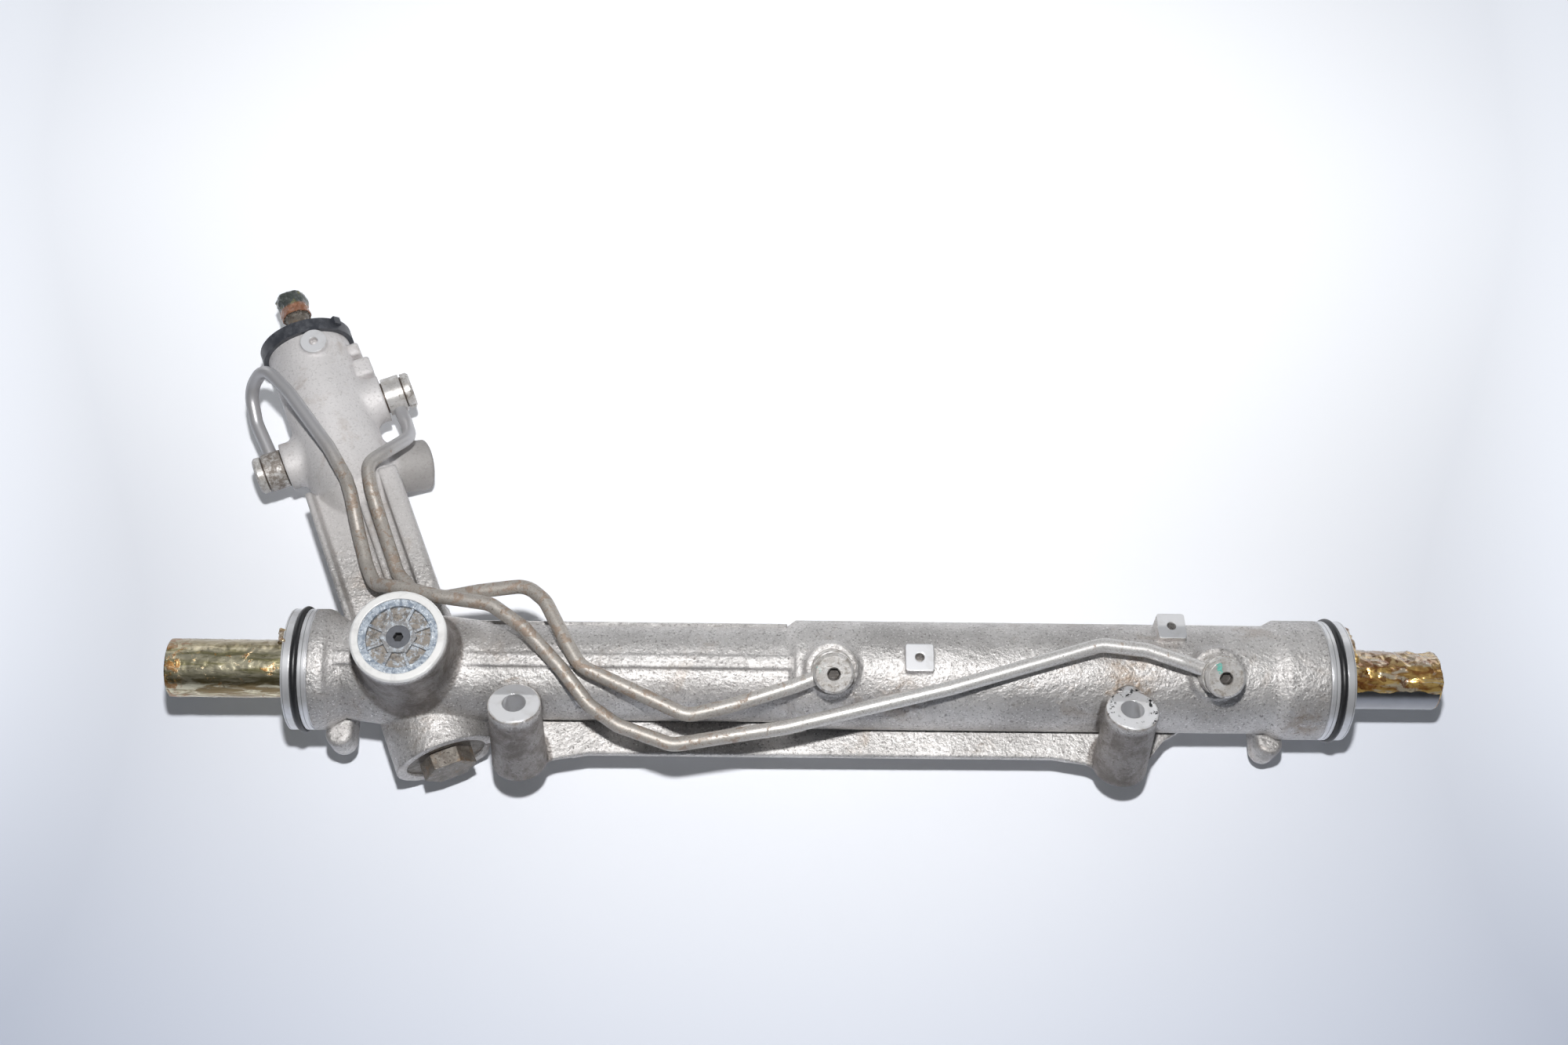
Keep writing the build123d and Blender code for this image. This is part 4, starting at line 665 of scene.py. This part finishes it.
def bar_grease():
    """A thin film of golden grease over polished steel, with olive streaks, amber lumps and a painted reflection
    on its upper side.
    """
    material, tree, shader = new_finish("bar_grease", metallic=0.95, Coat_Weight=0.4, Coat_Roughness=0.1)
    streaks = noise(tree, 1.0, 4, 0.65, 0.8, stretched(tree, (22 * MM, 4 * MM, 4 * MM)))
    base = mix(tree, between(tree, streaks, 0.40, 0.60), colour(178, 170, 128), colour(240, 230, 198))
    at_end = between(tree, along(tree, Vector((BAR_LEFT_X, 0, 0)), X_AXIS), 16 * MM, 3 * MM)
    lumps = noise(tree, 6 * MM, 5, 0.72, 0.7)
    amber = between(tree, calc(tree, "ADD", lumps, calc(tree, "MULTIPLY", at_end, 0.13)), 0.60, 0.67)
    base = shade_over(tree, base, amber, 0.8, colour(184, 122, 52))
    smears = noise(tree, 1.0, 4, 0.7, 1.4, stretched(tree, (9 * MM, 2.4 * MM, 2.4 * MM)))
    base = shade_over(tree, base, between(tree, smears, 0.60, 0.67), 0.75, colour(92, 64, 40))
    # Painted reflection: the upper side is greyer brown, as the room behind mirrors in it
    back = between(tree, along(tree, RACK_CENTRE, Y_AXIS), 2 * MM, 11 * MM)
    base = shade_over(tree, base, back, 0.6, colour(150, 132, 112))
    front = between(tree, along(tree, RACK_CENTRE, Y_AXIS), -8 * MM, -14 * MM)
    front = both(tree, front, between(tree, streaks, 0.62, 0.46))
    base = shade_over(tree, base, front, 0.7, colour(128, 96, 52))
    wrinkles = noise(tree, 1.0, 3, 0.7, 1.0, stretched(tree, (5 * MM, 1.2 * MM, 1.2 * MM)))
    scales = calc(tree, "MULTIPLY", noise(tree, 1.6 * MM, 3, 0.7), calc(tree, "ADD", 0.35, amber))
    height = calc(tree, "ADD", wrinkles, scales)
    rough = calc(tree, "ADD", 0.28, calc(tree, "MULTIPLY", amber, 0.1))
    finish_with(tree, shader, base, rough, bump(tree, height, 0.12 * MM))
    return material


def amber_grease():
    """Thick amber grease: gold where it is thin and wrinkled, brown in its folds."""
    material, tree, shader = new_finish("amber_grease", metallic=0.6, Coat_Weight=0.7, Coat_Roughness=0.08)
    fold = noise(tree, 1.0, 3, 0.55, 0.9, stretched(tree, (15 * MM, 6 * MM, 6 * MM)))
    base = mix(tree, between(tree, fold, 0.40, 0.60), colour(218, 182, 108), colour(150, 100, 48))
    pale = noise(tree, 1.0, 3, 0.6, 0.6, stretched(tree, (14 * MM, 6 * MM, 6 * MM)))
    pale = between(tree, pale, 0.50, 0.62)
    base = shade_over(tree, base, pale, 0.8, colour(216, 206, 184))
    back = between(tree, along(tree, RACK_CENTRE, Y_AXIS), 1 * MM, 9 * MM)
    base = shade_over(tree, base, back, 0.5, colour(188, 176, 160))
    deep = between(tree, noise(tree, 5 * MM, 4, 0.7, 0.5), 0.54, 0.62)
    base = shade_over(tree, base, deep, 0.8, colour(112, 62, 30))
    height = calc(tree, "ADD", fold, calc(tree, "MULTIPLY", noise(tree, 1.8 * MM, 2, 0.6), 0.15))
    finish_with(tree, shader, base, 0.22, bump(tree, height, 0.42 * MM))
    return material


def spline_grease():
    """Dark green-black grease over the splines, with rust showing through below it."""
    material, tree, shader = new_finish("spline_grease", metallic=0.15, Coat_Weight=0.8, Coat_Roughness=0.08)
    below = along(tree, SHAFT_TOP, TOWER_UP)
    edge = calc(tree, "MULTIPLY", noise(tree, 5 * MM, 4, 0.7), 6 * MM)
    rust = between(tree, calc(tree, "ADD", below, edge), -6.8 * MM, -8.6 * MM)
    dark = mix(tree, noise(tree, 3 * MM, 4, 0.7), colour(36, 42, 40), colour(96, 102, 98))
    olive = between(tree, noise(tree, 7 * MM, 3, 0.6), 0.58, 0.66)
    dark = shade_over(tree, dark, olive, 0.7, colour(134, 130, 84))
    warm = mix(tree, noise(tree, 3 * MM, 4, 0.7), colour(118, 68, 46), colour(176, 128, 98))
    base = mix(tree, rust, dark, warm)
    height = noise(tree, 2.2 * MM, 4, 0.7, 0.8)
    finish_with(tree, shader, base, 0.18, bump(tree, height, 0.8 * MM))
    return material


def dress_nodes():
    """Each node gets the finish of its record slot, or a finish of its own."""
    cap_zinc = zinc_steel("cap_zinc", DIRT_GREY, 0.9, PAINT_DABS)
    slots = {
        "cast_aluminium": cast_aluminium(),
        "turned_aluminium": turned_steel("turned_aluminium", colour(205, 205, 206), 0.3),
        "ground_steel": turned_steel("ground_steel", colour(178, 178, 180), 0.24),
        "bearing_steel": turned_steel("bearing_steel", colour(188, 188, 190), 0.18),
        "spring_steel": turned_steel("spring_steel", colour(120, 120, 122), 0.3),
        "dark_steel": dark_steel(),
        "rusty_steel": rusty_steel(),
        "zinc_plated_steel": zinc_steel("zinc_steel", DIRT_GREY, 0.2),
        "pipe_steel": pipe_steel(),
        "copper": copper(),
        "rubber": black_rubber(),
        "black_plastic": black_plastic(),
    }
    own = {
        "yoke_plug": corroded_zinc(),
        "banjo_bolts": cap_zinc,
        "inner_cylinder_banjo": cap_zinc,
        "outer_cylinder_banjo": cap_zinc,
        "left_tower_banjo": zinc_steel("dirty_zinc", DIRT_BROWN, 1.5),
    }
    for part in frame["record"]["subparts"]:
        name = part["node"]
        mesh = frame["nodes"][name].data
        mesh.materials.clear()
        mesh.materials.append(own.get(name, slots[part["material_slot"]]))


# Grease

SLEEVE_SIDES = 128
SLEEVE_STEP = 0.8 * MM
SUNK = 0.4 * MM
THIN_SHARE = 0.12
THICKENS_OVER = 0.5
FEATHER = 0.2
LUMP_MIDDLE = 0.35

# Lumps by their size and height, the larger ones first
LEFT_LUMPS = ((9 * MM, 0.7 * MM), (2.6 * MM, 0.3 * MM))
RIGHT_LUMPS = ((9 * MM, 4.6 * MM), (3.2 * MM, 0.8 * MM))
SPLINE_LUMPS = ((6 * MM, 3.4 * MM), (2 * MM, 0.8 * MM))

# The bar is bare where it faces the thick side less than this: -1 is straight away from it, 1 towards it
ALL_ROUND = -1.4
UPPER_SIDE = 0.22

# Where the grease starts and ends along the bar, and its reach on the input shaft
LEFT_GREASE_X = (BAR_LEFT_X + 0.5 * MM, -1.5 * MM)
RIGHT_GREASE_X = (SEAT_RIGHT_X + 1 * MM, BAR_RIGHT_X - 0.5 * MM)
SPLINE_LENGTH = 15 * MM
SPLINE_RADIUS = 8.2 * MM
SPLINE_END_GAP = 1.5 * MM

BEAD_SIDES = 14
BEAD_STEP = 0.7 * MM
BEAD_LUMP = 4 * MM
BEAD_CRUMB = 1.5 * MM
BEAD_MIDDLE = 0.5


def push_out(piece, name, size, height, middle, group=""):
    """Lumps of one size, pushed out of a piece and applied."""
    texture = bpy.data.textures.new(name, "CLOUDS")
    texture.noise_scale = size
    texture.noise_depth = 3
    lumps = piece.modifiers.new(name, "DISPLACE")
    lumps.texture = texture
    lumps.texture_coords = "LOCAL"
    lumps.strength = height
    lumps.mid_level = middle
    lumps.vertex_group = group
    bpy.ops.object.modifier_apply(modifier=name)


def set_down(piece, foot, axis):
    """Stands a piece made along Z at its place, with its place in its mesh."""
    piece.rotation_mode = "QUATERNION"
    piece.rotation_quaternion = axis.to_track_quat("Z", "Y")
    piece.location = foot
    bpy.ops.object.transform_apply(location=True, rotation=True, scale=True)


def finish_piece(piece, body, finish):
    piece.data.materials.append(finish)
    bpy.ops.object.shade_smooth()
    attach(piece, body)


def smooth_share(value, low, high):
    share = min(max((value - low) / (high - low), 0.0), 1.0)
    return share * share * (3 - 2 * share)


def side_share(vertex, side):
    """The outward direction at a vertex of a sleeve, and how much it faces a side."""
    outward = Vector((vertex.co.x, vertex.co.y, 0)).normalized()
    return outward, outward.dot(side)


def grease_sleeve(name, body, foot, axis, length, radius, film, lumps, thick_side, bare_below, finish):
    """Grease round a bar: rings drawn up from a circle, pushed out in lumps, thickest on one side."""
    bpy.ops.object.select_all(action="DESELECT")
    bpy.ops.mesh.primitive_circle_add(vertices=SLEEVE_SIDES, radius=radius + film)
    sleeve = bpy.context.object
    sleeve.name = sleeve.data.name = name
    rings = round(length / SLEEVE_STEP)
    bpy.ops.object.mode_set(mode="EDIT")
    bpy.ops.mesh.select_all(action="SELECT")
    for _ in range(rings):
        bpy.ops.mesh.extrude_region_move(TRANSFORM_OT_translate={"value": (0, 0, length / rings)})
    bpy.ops.mesh.select_all(action="SELECT")
    bpy.ops.mesh.normals_make_consistent(inside=False)
    bpy.ops.object.mode_set(mode="OBJECT")
    group = sleeve.vertex_groups.new(name="thick")
    side = axis.to_track_quat("Z", "Y").inverted() @ thick_side.normalized()
    for vertex in sleeve.data.vertices:
        _, share = side_share(vertex, side)
        cover = smooth_share(share, bare_below, bare_below + THICKENS_OVER)
        group.add([vertex.index], max(cover, THIN_SHARE), "REPLACE")
    for number, (size, height) in enumerate(lumps):
        push_out(sleeve, f"{name}_lumps_{number}", size, height, LUMP_MIDDLE, "thick")
    for vertex in sleeve.data.vertices:
        outward, share = side_share(vertex, side)
        cover = smooth_share(share, bare_below - FEATHER, bare_below + FEATHER)
        vertex.co -= outward * (film + SUNK) * (1 - cover)
    close_on_bar(radius - SUNK, radius + film)
    set_down(sleeve, foot, axis)
    finish_piece(sleeve, body, finish)


def close_on_bar(inner, outer):
    """Draws the open ends of the sleeve at hand in to the bar and joins them inside it."""
    bpy.ops.object.mode_set(mode="EDIT")
    bpy.ops.mesh.select_mode(type="EDGE")
    bpy.ops.mesh.select_all(action="DESELECT")
    bpy.ops.mesh.select_non_manifold(
        extend=False, use_wire=False, use_boundary=True, use_multi_face=False,
        use_non_contiguous=False, use_verts=False,
    )
    bpy.ops.mesh.extrude_edges_move()
    share = inner / outer
    bpy.ops.transform.resize(value=(share, share, 1), center_override=(0, 0, 0))
    bpy.ops.mesh.bridge_edge_loops()
    bpy.ops.mesh.select_all(action="SELECT")
    bpy.ops.mesh.normals_make_consistent(inside=False)
    bpy.ops.object.mode_set(mode="OBJECT")


def grease_bead(name, x, ring_radius, thickness, start, sweep, finish):
    """A ridge of grease on a boot seat's face, spun round the rack axis and closed at its ends."""
    bpy.ops.object.select_all(action="DESELECT")
    first = Vector((0, math.cos(start), math.sin(start))) * ring_radius + Vector((x, 0, 0))
    bpy.ops.mesh.primitive_circle_add(vertices=BEAD_SIDES, radius=thickness, fill_type="NGON", location=first)
    bead = bpy.context.object
    bead.name = bead.data.name = name
    bead.rotation_euler = (start, 0, 0)
    bpy.ops.object.transform_apply(location=True, rotation=True, scale=True)
    bpy.ops.object.mode_set(mode="EDIT")
    bpy.ops.mesh.select_all(action="SELECT")
    steps = round(sweep * ring_radius / BEAD_STEP)
    bpy.ops.mesh.spin(steps=steps, angle=sweep, center=(x, 0, 0), axis=(-1, 0, 0))
    bpy.ops.mesh.select_all(action="SELECT")
    bpy.ops.mesh.normals_make_consistent(inside=False)
    bpy.ops.object.mode_set(mode="OBJECT")
    push_out(bead, name + "_lumps", BEAD_LUMP, thickness * 1.6, BEAD_MIDDLE)
    push_out(bead, name + "_crumbs", BEAD_CRUMB, thickness * 0.5, BEAD_MIDDLE)
    finish_piece(bead, "housing", finish)


def add_grease():
    gold = bar_grease()
    amber = amber_grease()
    start, end = LEFT_GREASE_X
    grease_sleeve(
        "left_bar_grease", "rack", Vector((start, 0, 0)), X_AXIS, end - start, BAR_RADIUS, film=0.25 * MM,
        lumps=LEFT_LUMPS, thick_side=Vector((0, 0.4, 1)), bare_below=ALL_ROUND, finish=gold,
    )
    start, end = RIGHT_GREASE_X
    grease_sleeve(
        "right_bar_grease", "rack", Vector((start, 0, 0)), X_AXIS, end - start, BAR_RADIUS, film=0.3 * MM,
        lumps=RIGHT_LUMPS, thick_side=Vector((0, 0.75, 1)), bare_below=UPPER_SIDE, finish=amber,
    )
    foot = SHAFT_TOP - TOWER_UP * (SPLINE_LENGTH + SPLINE_END_GAP)
    grease_sleeve(
        "spline_grease", "steering_input", foot, TOWER_UP, SPLINE_LENGTH, SPLINE_RADIUS, film=0.3 * MM,
        lumps=SPLINE_LUMPS, thick_side=Z_AXIS, bare_below=ALL_ROUND, finish=spline_grease(),
    )
    grease_bead(
        "right_seat_bead", x=SEAT_RIGHT_X + 0.6 * MM, ring_radius=30.5 * MM, thickness=2.2 * MM,
        start=math.radians(15), sweep=math.radians(75), finish=amber,
    )
    grease_bead(
        "left_seat_bead", x=-0.8 * MM, ring_radius=32.4 * MM, thickness=2.3 * MM,
        start=math.radians(69), sweep=math.radians(13), finish=amber,
    )


# Stage

# A painted pool of light on the floor: pale round its spot, darker and bluer away from it, as the flash falls off
FLOOR_PAINTED_FALLOFF = colour(183, 192, 212)
FLOOR_MIDDLE = colour(250, 251, 254)
FLOOR_CENTRE = Vector((290, 60, -50)) * MM
PAINTED_LIGHT_POOL = Vector((277, 330, -55)) * MM
PAINTED_LIGHT_REACH = (0.20, 0.86)

# The floor's own glow: in front, behind, at the sides and far away
GLOW_TINT = (0.96, 0.98, 1.0, 1.0)
GLOW_FRONT = 0.04
GLOW_BEHIND = 0.34
GLOW_SIDES = 0.42
GLOW_FAR = 0.85
BEHIND_Y = (0.02, 0.40)
SIDES_X = (0.34, 0.56)
SIDES_Y = (-0.30, 0.06)
FAR_REACH = (0.72, 1.4)

FLASH_UP = 0.23
FLASH_BACK = 0.02
FLASH_SIZE = 0.05
FLASH_POWER = 11.5
FILL_PLACES = {"fill_left": Vector((-1.1, 1.3, 0.42)), "fill_right": Vector((1.1, 1.3, 0.42))}
FILL_SIZE = 0.9
FILL_POWER = 2.5

ROOM_TINT = (0.87, 0.93, 1.0, 1.0)
ROOM_LIGHT = 0.10
ROOM_SEEN = 0.95
ROOM_MIRRORED = (0.02, 0.16)
ROOM_LIFT = (-0.2, 0.7)
ROOM_BRIGHT_SIDE = (0, 0.6, 0.8)


def lowest_touch():
    """The height of the tilted floor under the origin, so that it just touches the gear."""
    points = (vertex.co for node in frame["nodes"].values() for vertex in node.data.vertices)
    return min(point.z - FLOOR_RISE_X * point.x - FLOOR_RISE_Y * point.y for point in points)


def floor_glow(tree):
    """Seen straight or in metal, the floor is a little lighter than its lamps make it."""
    rays = add(tree, "ShaderNodeLightPath").outputs
    seen = either(tree, rays["Is Camera Ray"], rays["Is Glossy Ray"], rays["Is Transmission Ray"])
    y = along(tree, RACK_CENTRE, Y_AXIS)
    behind = blend_values(tree, between(tree, y, *BEHIND_Y), GLOW_FRONT, GLOW_BEHIND)
    aside = calc(tree, "ABSOLUTE", along(tree, PAINTED_LIGHT_POOL, X_AXIS))
    sides = both(tree, between(tree, aside, *SIDES_X), between(tree, y, *SIDES_Y), GLOW_SIDES)
    far = both(tree, opposite(tree, near(tree, FLOOR_CENTRE, *FAR_REACH)), GLOW_FAR)
    return both(tree, seen, either(tree, behind, sides, far))


def add_floor():
    touch = lowest_touch()
    half = FLOOR_SIZE / 2
    corners = []
    for x, y in ((-half, -half), (half, -half), (half, half), (-half, half)):
        x, y = CAD_MIDDLE.x + x, CAD_MIDDLE.y + y
        corners.append((x, y, touch + FLOOR_RISE_X * x + FLOOR_RISE_Y * y))
    mesh = bpy.data.meshes.new("floor")
    mesh.from_pydata(corners, [], [(0, 1, 2, 3)])
    floor = bpy.data.objects.new("floor", mesh)
    bpy.context.scene.collection.objects.link(floor)
    material, tree, shader = new_finish("pale_floor", Specular_IOR_Level=0.1)
    # Painted light: the floor's colour is pale in a pool, darker and bluer away from it
    spot = near(tree, PAINTED_LIGHT_POOL, *PAINTED_LIGHT_REACH)
    finish_with(tree, shader, mix(tree, spot, FLOOR_PAINTED_FALLOFF, FLOOR_MIDDLE), 0.8)
    tree.links.new(floor_glow(tree), shader.inputs["Emission Strength"])
    shader.inputs["Emission Color"].default_value = GLOW_TINT
    mesh.materials.append(material)


def add_lamp(name, where, size, power):
    data = bpy.data.lights.new(name, "AREA")
    data.shape = "DISK"
    data.size = size
    data.energy = power
    lamp = bpy.data.objects.new(name, data)
    bpy.context.scene.collection.objects.link(lamp)
    lamp.location = where
    lamp.rotation_euler = (where - CAD_MIDDLE).to_track_quat("Z", "Y").to_euler()


def add_room():
    """A dim room that metal mirrors brightest from behind and above, pale where the camera sees it."""
    world = bpy.data.worlds.new("studio")
    bpy.context.scene.world = world
    world.use_nodes = True
    tree = world.node_tree
    surface = tree.nodes["Background"]
    rays = add(tree, "ShaderNodeLightPath").outputs
    direction = add(tree, "ShaderNodeTexCoord").outputs["Generated"]
    links = {0: direction, 1: ROOM_BRIGHT_SIDE}
    lift = add(tree, "ShaderNodeVectorMath", links, operation="DOT_PRODUCT").outputs["Value"]
    mirrored = blend_values(tree, between(tree, lift, *ROOM_LIFT), *ROOM_MIRRORED)
    in_metal = either(tree, rays["Is Glossy Ray"], rays["Is Transmission Ray"])
    strength = blend_values(tree, in_metal, ROOM_LIGHT, mirrored)
    strength = blend_values(tree, rays["Is Camera Ray"], strength, ROOM_SEEN)
    tree.links.new(strength, surface.inputs["Strength"])
    surface.inputs["Color"].default_value = ROOM_TINT


def add_light():
    _, up, back = view_axes()
    add_lamp("flash", CAMERA_PLACE + up * FLASH_UP + back * FLASH_BACK, FLASH_SIZE, FLASH_POWER)
    for name, place_from_middle in FILL_PLACES.items():
        add_lamp(name, CAD_MIDDLE + place_from_middle, FILL_SIZE, FILL_POWER)
    add_room()


bpy.context.scene.view_settings.view_transform = "Standard"
add_camera()
dress_nodes()
add_grease()
add_floor()
add_light()
